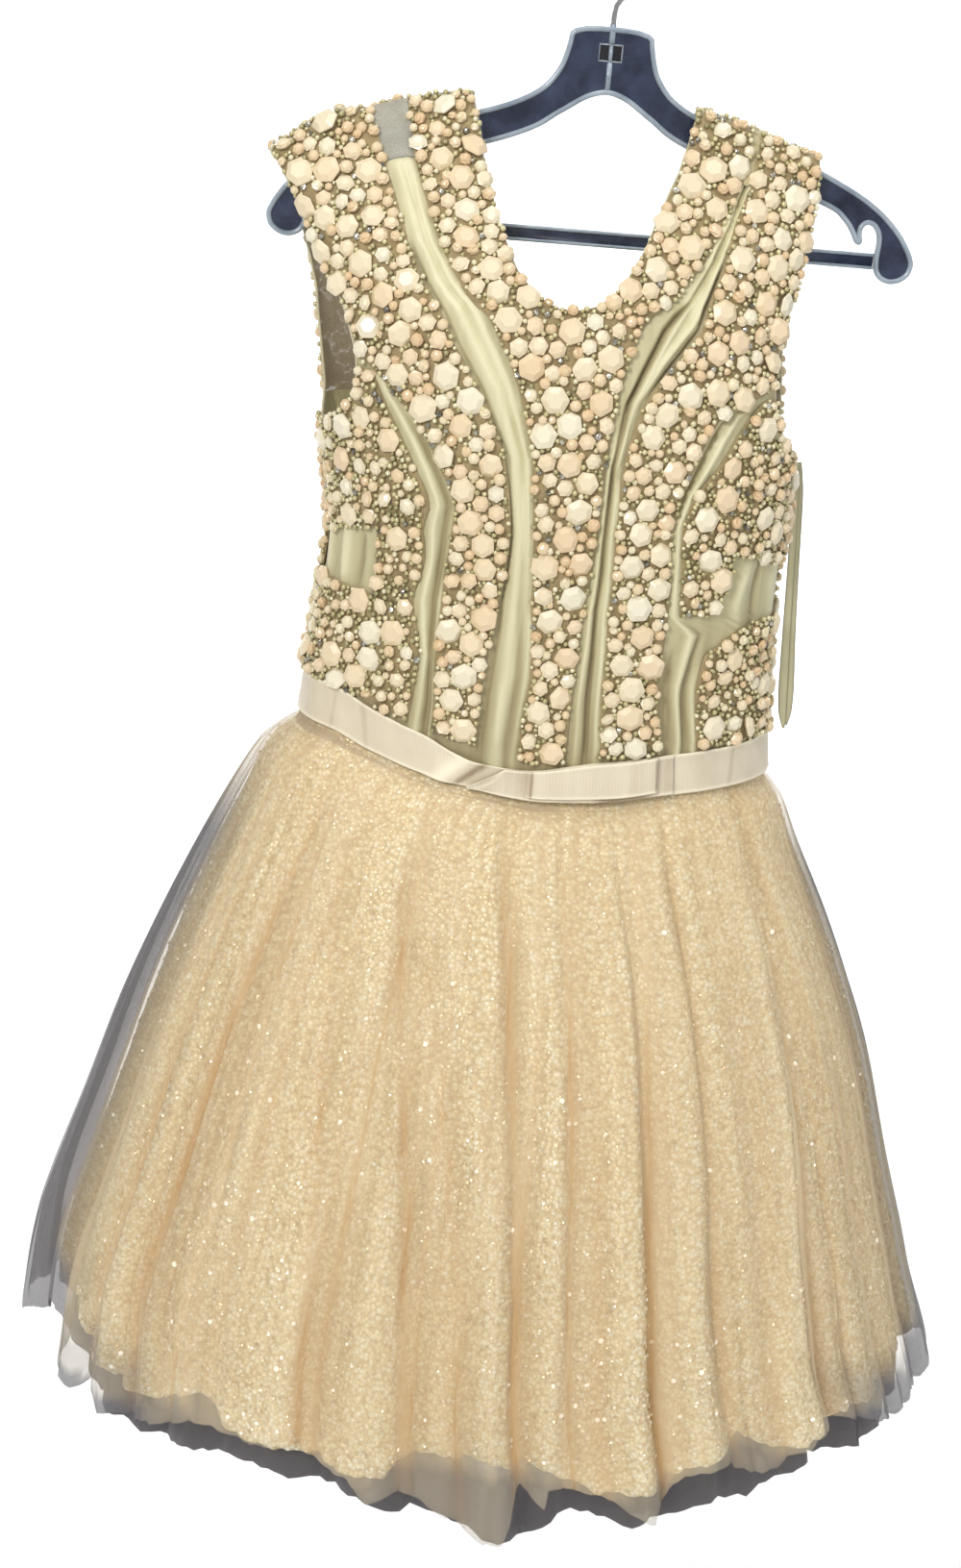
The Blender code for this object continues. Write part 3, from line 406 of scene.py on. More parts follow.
def attribute(tree, name, output="Fac"):
    return node(tree, "ShaderNodeAttribute", attribute_name=name).outputs[output]


def bump(tree, shader, height, strength, distance, before=None):
    made = node(tree, "ShaderNodeBump", Strength=strength, Distance=distance)
    tree.links.new(height, made.inputs["Height"])
    if before is not None:
        tree.links.new(before, made.inputs["Normal"])
    tree.links.new(made.outputs["Normal"], shader.inputs["Normal"])
    return made.outputs["Normal"]


def set_shader(shader, **values):
    for key, value in values.items():
        socket = shader.inputs[key.replace("_", " ")]
        socket.default_value = (*value, 1.0) if isinstance(value, tuple) else value


def satin(name, low, mid, high, rough=0.42):
    mat, tree, shader = new_material(name)
    streak = noise(tree, 90.0, 3.0, 0.6, stretch=(1.0, 1.0, 0.06))
    cloud = noise(tree, 9.0, 2.0, 0.5)
    tone = maths(tree, "ADD", maths(tree, "MULTIPLY", streak, 0.65), maths(tree, "MULTIPLY", cloud, 0.35))
    # the crest tone adds painted shade in the folds' troughs and painted highlight on their ridges; the streaks and
    # clouds are the cloth's own uneven tone
    crest = attribute(tree, "crest")
    tone = maths(tree, "ADD", maths(tree, "MULTIPLY", tone, 0.45), maths(tree, "MULTIPLY", crest, 0.62), True)
    colour = ramp(tree, tone, ((0.0, tuple(0.36 * k for k in low)), (0.20, low), (0.52, mid), (0.88, high)))
    tree.links.new(colour, shader.inputs["Base Color"])
    wave = node(tree, "ShaderNodeTexWave", Scale=520.0, Distortion=1.5)
    wave.bands_direction = "Z"
    tree.links.new(position(tree), wave.inputs["Vector"])
    fine = bump(tree, shader, wave.outputs["Fac"], 0.10, 0.0002)
    bump(tree, shader, streak, 0.25, 0.0006, fine)
    set_shader(shader, Roughness=rough, Sheen_Weight=0.25, Sheen_Roughness=0.4, Specular_IOR_Level=0.45)
    return mat


SATIN = satin("satin_organza", (0.33, 0.27, 0.145), (0.52, 0.472, 0.275), (0.72, 0.678, 0.44))


def net(name, low, high, alpha, rough=0.85, scale=900.0, tone_of="crest", alpha_more=0.0):
    """Sheer net: a fine mesh, darker and closer in the creases; the darker colour there is painted shade."""
    mat, tree, shader = new_material(name)
    crest = attribute(tree, tone_of)
    cloud = noise(tree, 26.0, 3.0, 0.6, stretch=(1.0, 1.0, 0.25))
    tone = maths(tree, "ADD", maths(tree, "MULTIPLY", crest, 0.75), maths(tree, "MULTIPLY", cloud, 0.30), True)
    tree.links.new(ramp(tree, tone, ((0.15, low), (0.9, high))), shader.inputs["Base Color"])
    cells = node(tree, "ShaderNodeTexVoronoi", Scale=scale)
    tree.links.new(position(tree), cells.inputs["Vector"])
    bump(tree, shader, cells.outputs["Distance"], 0.25, 0.0004)
    seen = maths(tree, "SUBTRACT", alpha + alpha_more, maths(tree, "MULTIPLY", crest, alpha_more), True)
    seen = maths(tree, "MULTIPLY", seen, maths(tree, "ADD", 0.82, maths(tree, "MULTIPLY", cells.outputs["Distance"], 0.45)), True)
    tree.links.new(seen, shader.inputs["Alpha"])
    set_shader(shader, Roughness=rough, Sheen_Weight=0.2, Specular_IOR_Level=0.2)
    return mat


SHOULDER_NET = net("shoulder_net", (0.50, 0.48, 0.40), (0.66, 0.64, 0.54), 0.40)
SHOULDER_NET_RIGHT = net("shoulder_net_right", (0.42, 0.36, 0.19), (0.66, 0.58, 0.36), 0.93)
BACK_NET = net("back_net", (0.44, 0.36, 0.26), (0.60, 0.51, 0.37), 0.60)
# band_net is the net under the beads, coloured darker than the net's own to stand for shade between the beads: partly
# real colour, partly painted shade
BAND_NET = net("band_net", (0.26, 0.195, 0.095), (0.48, 0.38, 0.208), 0.94, 0.75, 700.0)
SHEER_BAND = net("sheer_band_net", (0.42, 0.32, 0.22), (0.58, 0.47, 0.34), 0.34, 0.8, 800.0)
def tulle(name, low, high, alpha, more, grey_tone, grey_alpha):
    """Sheer tulle: closer and darker in its folds, the darker colour being painted shade; cool grey where nothing lies
    behind it, a painted shade of the dark that shows through.
    """
    mat, tree, shader = new_material(name)
    crest = attribute(tree, "crest")
    grey = attribute(tree, "grey")
    cloud = noise(tree, 26.0, 2.0, 0.6, stretch=(1.0, 1.0, 0.2))
    tone = maths(tree, "ADD", maths(tree, "MULTIPLY", crest, 0.85), maths(tree, "MULTIPLY", cloud, 0.22), True)
    colour = ramp(tree, tone, ((0.15, low), (0.9, high)))
    tree.links.new(mix(tree, maths(tree, "MULTIPLY", grey, 0.9, True), colour, grey_tone), shader.inputs["Base Color"])
    bump(tree, shader, noise(tree, 1300.0, 0.0, 0.5), 0.25, 0.0004)
    seen = maths(tree, "SUBTRACT", alpha + more, maths(tree, "MULTIPLY", crest, more), True)
    seen = maths(tree, "ADD", seen, maths(tree, "MULTIPLY", attribute(tree, "veil"), 0.09), True)
    seen = maths(tree, "MULTIPLY", seen, maths(tree, "ADD", 0.80, maths(tree, "MULTIPLY", cloud, 0.45)), True)
    seen = maths(tree, "MAXIMUM", seen, maths(tree, "MULTIPLY", grey, grey_alpha), True)
    tree.links.new(seen, shader.inputs["Alpha"])
    set_shader(shader, Roughness=0.9, Sheen_Weight=0.2, Specular_IOR_Level=0.2)
    return mat


# the grey tones are painted shade, laid where nothing lies behind the tulle
OVERLAY = tulle("overlay_tulle", (0.66, 0.44, 0.22), (0.95, 0.82, 0.57), 0.09, 0.35, (0.14, 0.148, 0.185), 0.58)
UNDER = tulle("under_tulle", (0.42, 0.30, 0.18), (0.62, 0.47, 0.30), 0.40, 0.25, (0.026, 0.031, 0.054), 0.82)


def islands(name, stops, rough, metal=0.0, coat=0.0, spec=0.5, mottled=0.15):
    """Many small pieces, each with its own shade."""
    mat, tree, shader = new_material(name)
    each = node(tree, "ShaderNodeNewGeometry").outputs["Random Per Island"]
    colour = ramp(tree, each, stops)
    patch = noise(tree, 420.0, 2.0, 0.6)
    colour = mix(tree, maths(tree, "MULTIPLY", patch, mottled), colour, tuple(0.75 * k for k in stops[0][1]))
    tree.links.new(colour, shader.inputs["Base Color"])
    bump(tree, shader, noise(tree, 900.0, 2.0, 0.6), 0.08, 0.0004)
    set_shader(shader, Roughness=rough, Metallic=metal, Coat_Weight=coat, Coat_Roughness=0.12, Specular_IOR_Level=spec)
    return mat


DISC = islands("faceted_discs", ((0.0, (0.79, 0.615, 0.395)), (0.35, (0.82, 0.685, 0.465)), (0.75, (0.83, 0.735, 0.53)), (1.0, (0.84, 0.79, 0.62))), 0.34, 0.0, 0.15)
ROUND = islands("faceted_beads", ((0.0, (0.73, 0.525, 0.305)), (0.3, (0.77, 0.60, 0.375)), (0.7, (0.80, 0.665, 0.445)), (1.0, (0.82, 0.745, 0.53))), 0.28, 0.0, 0.25)
PEARL = islands("small_pearls", ((0.0, (0.33, 0.30, 0.145)), (0.35, (0.54, 0.48, 0.245)), (0.75, (0.72, 0.655, 0.38)), (1.0, (0.86, 0.80, 0.56))), 0.22, 0.25, 0.5, 0.6)
CRYSTAL = islands("grey_crystals", ((0.0, (0.20, 0.19, 0.16)), (0.4, (0.42, 0.41, 0.36)), (0.8, (0.66, 0.65, 0.58)), (1.0, (0.85, 0.82, 0.74))), 0.12, 0.7, 0.4, 0.6)


def sequin_cloth():
    mat, tree, shader = new_material("sequin_tulle")
    crest = attribute(tree, "crest")
    cells = node(tree, "ShaderNodeTexVoronoi", Scale=340.0)
    tree.links.new(position(tree), cells.inputs["Vector"])
    each = node(tree, "ShaderNodeSeparateColor")
    tree.links.new(cells.outputs["Color"], each.inputs[0])
    cluster = noise(tree, 75.0, 3.0, 0.6)
    # the crest tone brings the skirt's painted fold shade and highlights; the cells and clusters are the sequins' own
    # random tone
    shade = maths(tree, "ADD", maths(tree, "MULTIPLY", each.outputs[0], 0.55), maths(tree, "MULTIPLY", crest, 0.56), True)
    shade = maths(tree, "ADD", shade, maths(tree, "MULTIPLY", maths(tree, "SUBTRACT", cluster, 0.5), 0.55), True)
    colour = ramp(tree, shade, ((0.06, (0.50, 0.315, 0.135)), (0.42, (0.78, 0.62, 0.335)), (0.74, (0.92, 0.83, 0.545)), (1.0, (0.99, 0.96, 0.78))))
    gap = maths(tree, "SUBTRACT", maths(tree, "MULTIPLY", cells.outputs["Distance"], 1.6), 0.35, True)
    colour = mix(tree, maths(tree, "MULTIPLY", gap, 0.8, True), colour, (0.50, 0.345, 0.155))
    tree.links.new(colour, shader.inputs["Base Color"])
    shine = ramp(tree, each.outputs[1], ((0.0, (0.55,) * 3), (0.75, (0.36,) * 3), (1.0, (0.16,) * 3)))
    tree.links.new(shine, shader.inputs["Roughness"])
    tilt = maths(tree, "ADD", maths(tree, "MULTIPLY", cells.outputs["Distance"], -1.0), maths(tree, "MULTIPLY", each.outputs[2], 1.2))
    bump(tree, shader, tilt, 0.55, 0.0014)
    set_shader(shader, Metallic=0.15, Specular_IOR_Level=0.6)
    return mat


SEQUIN_CLOTH = sequin_cloth()
SEQUIN = islands("loose_sequins", ((0.0, (0.62, 0.44, 0.22)), (0.35, (0.84, 0.68, 0.42)), (0.75, (0.95, 0.86, 0.62)), (1.0, (0.99, 0.96, 0.82))), 0.24, 0.35, 0.3, 0.7, 0.1)


# painted glints: near-white sequins that also glow, standing in for light flashing off them
GLINT = islands("painted_glint_sequins", ((0.0, (0.98, 0.94, 0.80)), (0.5, (0.99, 0.97, 0.90)), (0.8, (1.0, 0.99, 0.95)), (1.0, (1.0, 1.0, 1.0))), 0.18, 0.2, 0.4, 0.8, 0.05)
set_shader(GLINT.node_tree.nodes["Principled BSDF"], Emission_Color=(1.0, 0.96, 0.86), Emission_Strength=0.5)


def ribbon_material(name, low, high, rib=900.0, rough=0.36):
    mat, tree, shader = new_material(name)
    # the crest tone carries painted shade and painted highlights from the sheets: creases, the roll, the tab's ends and
    # the loop's edges
    edge = attribute(tree, "crest")
    along = attribute(tree, "cloth", "Vector")
    cloud = noise(tree, 30.0, 2.0, 0.5)
    tone = maths(tree, "ADD", maths(tree, "MULTIPLY", cloud, 0.22), maths(tree, "MULTIPLY", edge, 0.80), True)
    tree.links.new(ramp(tree, tone, ((0.12, low), (0.50, tuple(0.42 * p + 0.58 * q for p, q in zip(low, high))), (0.95, high))), shader.inputs["Base Color"])
    wave = node(tree, "ShaderNodeTexWave", Scale=rib / 6.28, Distortion=0.4)
    wave.bands_direction = "X"
    tree.links.new(along, wave.inputs["Vector"])
    bump(tree, shader, wave.outputs["Fac"], 0.28, 0.0004)
    set_shader(shader, Roughness=rough, Sheen_Weight=0.3, Sheen_Roughness=0.35, Specular_IOR_Level=0.5)
    return mat


RIBBON = ribbon_material("waist_ribbon", (0.36, 0.275, 0.175), (0.95, 0.865, 0.675))
LOOP_RIBBON = ribbon_material("loop_ribbon", (0.22, 0.20, 0.10), (0.66, 0.62, 0.40))
TAPE = ribbon_material("zip_tape_weave", (0.40, 0.32, 0.20), (0.60, 0.50, 0.33), 1400.0, 0.7)


def plastic(name, low, high, rough, alpha):
    mat, tree, shader = new_material(name)
    tree.links.new(ramp(tree, noise(tree, 40.0, 4.0, 0.6), ((0.3, low), (0.75, high))), shader.inputs["Base Color"])
    bump(tree, shader, noise(tree, 300.0, 3.0, 0.6), 0.06, 0.0005)
    scuff = ramp(tree, noise(tree, 120.0, 4.0, 0.7), ((0.35, (rough * 0.7,) * 3), (0.8, (rough * 1.6,) * 3)))
    tree.links.new(scuff, shader.inputs["Roughness"])
    set_shader(shader, Alpha=alpha, Specular_IOR_Level=0.6, Coat_Weight=0.3, Coat_Roughness=0.1)
    return mat


WEB = plastic("hanger_web", (0.006, 0.010, 0.028), (0.050, 0.068, 0.128), 0.20, 0.96)
# painted shade: a near-black pane stands for the shade in the recessed window
WINDOW_SHADE = plastic("hanger_recess_painted_shade", (0.001, 0.001, 0.003), (0.006, 0.007, 0.012), 0.30, 1.0)
# the rim is the same plastic as the web, drawn paler: partly painted highlight along the hanger's edges
RIM = plastic("hanger_rim", (0.20, 0.25, 0.31), (0.42, 0.48, 0.54), 0.20, 0.97)
STEEL = plastic("hook_steel", (0.50, 0.50, 0.51), (0.66, 0.66, 0.67), 0.24, 1.0)
STEEL.node_tree.nodes["Principled BSDF"].inputs["Metallic"].default_value = 1.0


# ------------------------------------------------------------------ folds of the bodice cloth
FOLD_LINES = [(straight(t, 1), straight(t, 2), low, high, f0, f1, width, height) for t, (low, high), (f0, f1), width, height in CHANNEL_FOLDS]


def cloth_lift(angle, v):
    """Height of the cloth over its form (mm), and its crest tone from 0 in a trough to 1 on a ridge: painted shade in
    the troughs, painted highlight on the ridges.
    """
    a = np.where(angle < -90, -angle, angle)          # the back's left half takes the right half's channels
    a = np.where(a > 180, 360 - a, a)
    scale = mm_per_degree(angle, v)
    lift = np.zeros(np.shape(a))
    for k, (left, right, low, high, f0, f1, width, height) in enumerate(FOLD_LINES):
        share = np.clip((v - low) / (high - low), 0, 1)
        l, r = left(v), right(v)
        wander = 0.05 * noise1(v * 9.0, k + 1.0)
        at = l + (r - l) * (f0 + (f1 - f0) * share + wander)
        d = (a - at) * scale / (width * (1 + 0.22 * noise1(v * 6.0, k + 21.0)))
        ends = np.clip((v - low) / 0.05 + (0.6 if low < 0.01 else 0.0), 0, 1) * np.clip((high - v) / 0.06 + (0.6 if high > 1.7 else 0.0), 0, 1)
        inside = (a > l - 1.0) & (a < r + 1.0)
        # one flank of each fold is steeper than the other
        skew = np.where(d > 0, 1.45 if k % 2 else 0.8, 0.8 if k % 2 else 1.45)
        shape = np.exp(-((d * skew) ** 2) * 1.3)
        lift += height * (1 + 0.25 * noise1(v * 5.0, k + 41.0)) * shape * ends * inside
    fine = 0.22 * noise1(a * scale * 0.9 + 2.2 * np.sin(v * 4.0), 5.0) + 0.25 * noise1(a * 0.35 + v * 7.0, 9.0)
    # painted shade: the cloth's colour darkens towards the waist, with a little random tone
    shade = 0.50 * np.clip((0.46 - v) / 0.35, 0, 1) + 0.06 * noise1(a * 0.5 + v * 5.0, 77.0)
    crest = np.clip(0.55 + lift / 4.4 + fine * 0.32 - shade, 0.0, 1.0)
    held = np.clip((v - 0.062) / 0.055, 0, 1)
    return (lift + fine) * held, crest


def dressed(angle, v, base=0.0):
    p = bodice(angle, v)
    n = outward(bodice, angle, np.minimum(v, 1.985))
    lift, crest = cloth_lift(angle, v)
    fade = np.clip((2.0 - v) / 0.08, 0, 1)
    return p + n * ((base + lift * fade) * MM)[..., None], crest


def levels(*ranges):
    return np.unique(np.concatenate([np.linspace(a, b, n) for a, b, n in ranges]))


def panel_grid(rows, left, right, cols):
    u = np.linspace(0, 1, cols)
    v = np.repeat(rows[:, None], cols, 1)
    l, r = left(rows)[:, None], right(rows)[:, None]
    return l + (r - l) * u[None, :], v


def channel_grid(rows, edges, counts):
    """Columns that run along the given edges: each count is the number of steps between two edges."""
    lines = [f(rows) for f in edges]
    columns = []
    for k, count in enumerate(counts):
        u = np.linspace(0, 1, count + 1)[None, :]
        part = lines[k][:, None] * (1 - u) + lines[k + 1][:, None] * u
        columns.append(part if k == len(counts) - 1 else part[:, :-1])
    a = np.concatenate(columns, axis=1)
    return a, np.repeat(rows[:, None], a.shape[1], 1)


def joined(pieces):
    """Several (angle, v) grids as one welded sheet."""
    points, faces, crest, height = [], [], [], []
    first = 0
    for a, v in pieces:
        p, c = dressed(a, v)
        points.append(p.reshape(-1, 3))
        crest.append(c.reshape(-1))
        height.append(v.reshape(-1))
        faces.append(grid_faces(*a.shape, first))
        first += a.size
    return weld(np.concatenate(points), np.concatenate(faces), {"crest": np.concatenate(crest), "v": np.concatenate(height)})


NET_FROM = 1.70
arm_l, arm_r = straight(ARMHOLE, 1), straight(ARMHOLE, 2)
neck_l, neck_r = straight(NECK, 1), straight(NECK, 2)
edge = lambda table, col: straight(table, col)
front_rows = levels((BODICE_FOOT, 0.69, 44), (0.69, 0.80, 14), (0.80, 1.04, 22), (1.04, 1.14, 11), (1.14, NET_FROM - 0.002, 24))
left_half = channel_grid(front_rows, [arm_l, edge(LEFT_OUTER, 1), edge(LEFT_OUTER, 2), edge(LEFT_INNER, 1), edge(LEFT_INNER, 2), neck_l], (50, 22, 10, 30, 10))
right_half = channel_grid(front_rows, [neck_r, edge(RIGHT_INNER, 1), edge(RIGHT_INNER, 2), edge(RIGHT_OUTER, 1), edge(RIGHT_OUTER, 2), arm_r], (8, 32, 12, 24, 44))
points, faces, attrs = joined([left_half, right_half])
attrs.pop("v")
bodice_front = cloth("bodice_front_cloth", points, faces, 0.8 * MM, [SATIN], attrs)

net_rows = levels((NET_FROM + 0.002, 1.999, 16))
nets = []
for name, left, right in (("left", arm_l, neck_l), ("right", neck_r, arm_r)):
    points, faces, attrs = joined([panel_grid(net_rows, left, right, 40)])
    attrs.pop("v")
    nets.append(cloth("shoulder_net_" + name + "_cloth", points, faces, 0.3 * MM, [SHOULDER_NET if name == "left" else SHOULDER_NET_RIGHT], attrs))

back_rows = levels((BODICE_FOOT, 0.57, 34), (0.57, 0.80, 22), (0.80, 1.999, 44))
scoop_l, scoop_r, back_arm = straight(SCOOP, 1), straight(SCOOP, 2), straight(BACK_ARM, 1)
backs = []
back_edges = [lambda v: 180 - back_arm(v), edge(BACK_OUTER_R, 1), edge(BACK_OUTER_R, 2), edge(BACK_INNER_R, 1), edge(BACK_INNER_R, 2)]
mirrored = [(lambda v, f=f: -f(v)) for f in reversed(back_edges)]
for name, edges, counts in (
    ("left", [lambda v: -180 + scoop_l(v)] + mirrored, (14, 22, 8, 16, 12)),
    ("right", back_edges + [lambda v: 180 - scoop_r(v)], (12, 16, 8, 22, 14)),
):
    points, faces, attrs = joined([channel_grid(back_rows, edges, counts)])
    height = attrs.pop("v")[faces].mean(axis=1)
    backs.append(cloth("bodice_back_" + name + "_cloth", points, faces, 0.8 * MM, [SATIN, BACK_NET], attrs, (height > 0.76).astype(int)))

# narrow bound edges of the armholes and back scoop
def bound_edge(name, lines, radius, mat):
    """Round bindings along open lines of points (N,3) in metres."""
    points, faces, first = [], [], 0
    around = 8
    for line in lines:
        p = np.asarray(line)
        t = np.gradient(p, axis=0)
        t /= np.maximum(np.linalg.norm(t, axis=1, keepdims=True), 1e-9)
        side = np.cross(t, np.array([0.0, 1.0, 0.0]) + 0 * t)
        side /= np.maximum(np.linalg.norm(side, axis=1, keepdims=True), 1e-9)
        other = np.cross(t, side)
        for k in range(around):
            points.append(p + radius * (cos(2 * pi * k / around) * side + sin(2 * pi * k / around) * other))
        n = len(p)
        idx = first + np.arange(n)
        for k in range(around):
            a, b = idx + k * n, idx + ((k + 1) % around) * n
            faces.append(np.stack([a[:-1], b[:-1], b[1:], a[1:]], -1))
        first += around * n
    quads = np.concatenate(faces)
    pts = np.concatenate(points)
    caps = []
    first = 0
    for line in lines:
        n = len(line)
        start = [first + k * n for k in range(around)]
        caps += [[start[0], start[k + 1], start[k]] for k in range(1, around - 1)]
        end = [first + k * n + n - 1 for k in range(around)]
        caps += [[end[0], end[k], end[k + 1]] for k in range(1, around - 1)]
        first += around * n
    return build(name, pts, [quads, np.array(caps)], [mat], True, None, {"crest": np.full(len(pts), 0.55)})


arm_v = levels((0.70, 0.80, 14), (0.80, 1.985, 34))
scoop_v = levels((0.58, 0.80, 14), (0.80, 1.985, 34))
back_line = np.concatenate([bodice(-180 + scoop_l(scoop_v), scoop_v)[::-1], bodice(180 - scoop_r(scoop_v), scoop_v)])
left_hole = np.concatenate([bodice(arm_l(arm_v), arm_v)[::-1], bodice(-180 + back_arm(arm_v), arm_v)])
right_hole = np.concatenate([bodice(arm_r(arm_v), arm_v)[::-1], bodice(180 - back_arm(arm_v), arm_v)])
BINDING = satin("narrow_binding", (0.40, 0.34, 0.20), (0.58, 0.52, 0.34), (0.74, 0.68, 0.48))
arm_binding = bound_edge("armhole_bindings", [left_hole, right_hole], 0.9 * MM, BINDING)
back_binding = bound_edge("back_scoop_binding", [back_line], 0.9 * MM, BINDING)

# ------------------------------------------------------------------ beaded bands
BANDS = {
    "beads_neck_left": [NECK_LEFT], "beads_neck_right": [NECK_RIGHT], "beads_centre": [CENTRE],
    "beads_outer_left_upper": [OUTER_LEFT_UP], "beads_outer_left_lower": [OUTER_LEFT_LOW],
    "beads_outer_right_upper": [OUTER_RIGHT_UP], "beads_outer_right_lower": [OUTER_RIGHT_LOW],
    "beads_side_left": list(SIDE_LEFT), "beads_side_right": list(SIDE_RIGHT),
}
for word, table in (("upper", BACK_UP), ("inner", BACK_IN), ("outer", BACK_OUT), ("side", BACK_SIDE)):
    BANDS["beads_back_left_" + word] = [tuple((v, -180 + a, -180 + b) for v, a, b in table)]
    BANDS["beads_back_right_" + word] = [tuple((v, 180 - b, 180 - a) for v, a, b in table)]

GROUND_LIFT = 1.5
grounds = {}
for name, tables in BANDS.items():
    points, faces, crest, first = [], [], [], 0
    for table in tables:
        left, right = straight(table, 1), straight(table, 2)
        rows = levels((table[0][0], min(table[-1][0], 1.985), max(4, int((table[-1][0] - table[0][0]) * 40))))
        wide = (right(rows) - left(rows)).max()
        a, v = panel_grid(rows, left, right, max(5, int(wide / 2.2)))
        n = outward(bodice, a, np.minimum(v, 1.97))
        p = bodice(a, v) + n * ((GROUND_LIFT + 0.25 * noise1(a * 1.1 + v * 31.0, 3.0)) * MM)[..., None]
        points.append(p.reshape(-1, 3))
        crest.append(np.clip(0.5 + 0.4 * noise1(a.ravel() * 0.8 + v.ravel() * 23.0, 4.0), 0, 1))
        faces.append(grid_faces(*a.shape, first))
        first += a.size
    points, faces, attrs = weld(np.concatenate(points), np.concatenate(faces), {"crest": np.concatenate(crest)})
    grounds[name] = cloth(name + "_net", points, faces, 0.7 * MM, [SHEER_BAND if name.endswith("_upper") and "back" in name else BAND_NET], attrs)

rng = np.random.default_rng(20)


def clear_of(p, r, others, tight):
    """Which points stand free of what is already placed."""
    keep = np.ones(len(p), bool)
    if not others:
        return keep
    q = np.array([o[1] for o in others])
    s = np.array([o[3] for o in others]) * MM
    for k in range(0, len(p), 1500):
        gap = np.linalg.norm(p[k:k + 1500, None] - q[None], axis=2)
        keep[k:k + 1500] = (gap >= (r[k:k + 1500, None] + s[None]) * tight).all(axis=1)
    return keep


class Packing:
    """Round pieces laid side by side over a surface, found by a grid of cells."""

    def __init__(self, cell):
        self.cell, self.found = cell, {}

    def free(self, p, r, tight):
        key = tuple((p // self.cell).astype(int))
        for i in range(key[0] - 1, key[0] + 2):
            for j in range(key[1] - 1, key[1] + 2):
                for k in range(key[2] - 1, key[2] + 2):
                    for q, s in self.found.get((i, j, k), ()):
                        if (p[0] - q[0]) ** 2 + (p[1] - q[1]) ** 2 + (p[2] - q[2]) ** 2 < ((r + s) * tight) ** 2:
                            return False
        return True

    def add(self, p, r):
        key = tuple((p // self.cell).astype(int))
        self.found.setdefault(key, []).append((p, r))


def candidates(tables, count):
    """Evenly spread points (angle, v) of a band, with how near they are to its edges (mm)."""
    out = []
    areas = []
    for table in tables:
        v = np.linspace(table[0][0], table[-1][0], 60)
        w = (straight(table, 2)(v) - straight(table, 1)(v)) * mm_per_degree((straight(table, 2)(v) + straight(table, 1)(v)) / 2, v)
        high = np.where(v <= 1, 300.0, 131.0)
        areas.append(float((w * high).mean() * (v[-1] - v[0])))
    total = sum(areas)
    for table, area in zip(tables, areas):
        left, right = straight(table, 1), straight(table, 2)
        n = int(count * area / total) + 1
        v = rng.uniform(table[0][0], table[-1][0], n * 4)
        w = (right(v) - left(v)) * mm_per_degree((left(v) + right(v)) / 2, v) * np.where(v <= 1, 300.0, 131.0)
        v = v[rng.uniform(0, w.max(), len(v)) < w][:n]
        a = left(v) + (right(v) - left(v)) * rng.uniform(0, 1, len(v))
        scale = mm_per_degree(a, v)
        tall = np.where(v <= 1, 300.0, 131.0)
        inner_low = 0.0 if (len(tables) > 1 and table is not tables[0]) else 1.0
        inner_high = 0.0 if (len(tables) > 1 and table is not tables[-1]) else 1.0
        side = np.minimum((a - left(v)), (right(v) - a)) * scale
        ends = np.minimum(np.where(inner_low > 0, (v - table[0][0]) * tall, 99.0), np.where(inner_high > 0, (table[-1][0] - v) * tall, 99.0))
        out.append(np.stack([a, v, np.minimum(side, ends)], 1))
    rows = np.concatenate(out)
    return rows[rng.permutation(len(rows))], total


# kind: radius (mm), least share of the radius inside the band, tries for each 1000 mm2, most for each 1000 mm2, closeness
SIZES = (
    ("disc", (7.4, 8.8), 0.50, 38, 1.55, 0.99), ("disc", (4.9, 6.2), 0.42, 80, 2.1, 0.95),
    ("round", (3.7, 4.5), 0.32, 220, 5.0, 0.93), ("round", (2.7, 3.4), 0.25, 300, 4.2, 0.92),
    ("crystal", (1.9, 2.4), 0.25, 70, 1.4, 0.94), ("pearl", (1.75, 2.15), 0.05, 1300, 30.0, 0.90), ("pearl", (1.3, 1.6), 0.05, 1000, 20.0, 0.90),
)
placed = {"front": [], "back": []}
CHANNELS = [(t[0][0], t[-1][0], straight(t, 1), straight(t, 2)) for t in (LEFT_INNER, RIGHT_INNER, LEFT_OUTER, RIGHT_OUTER)]


def channel_room(angle, v):
    """How far (mm) points stand from the nearest bare channel of the front."""
    room = np.full(len(angle), 99.0)
    scale = mm_per_degree(angle, v)
    for low, high, left, right in CHANNELS:
        l, r = left(v), right(v)
        gap = np.maximum(l - angle, angle - r) * scale
        room = np.where((v >= low) & (v <= high + 0.02), np.minimum(room, gap), room)
    return room


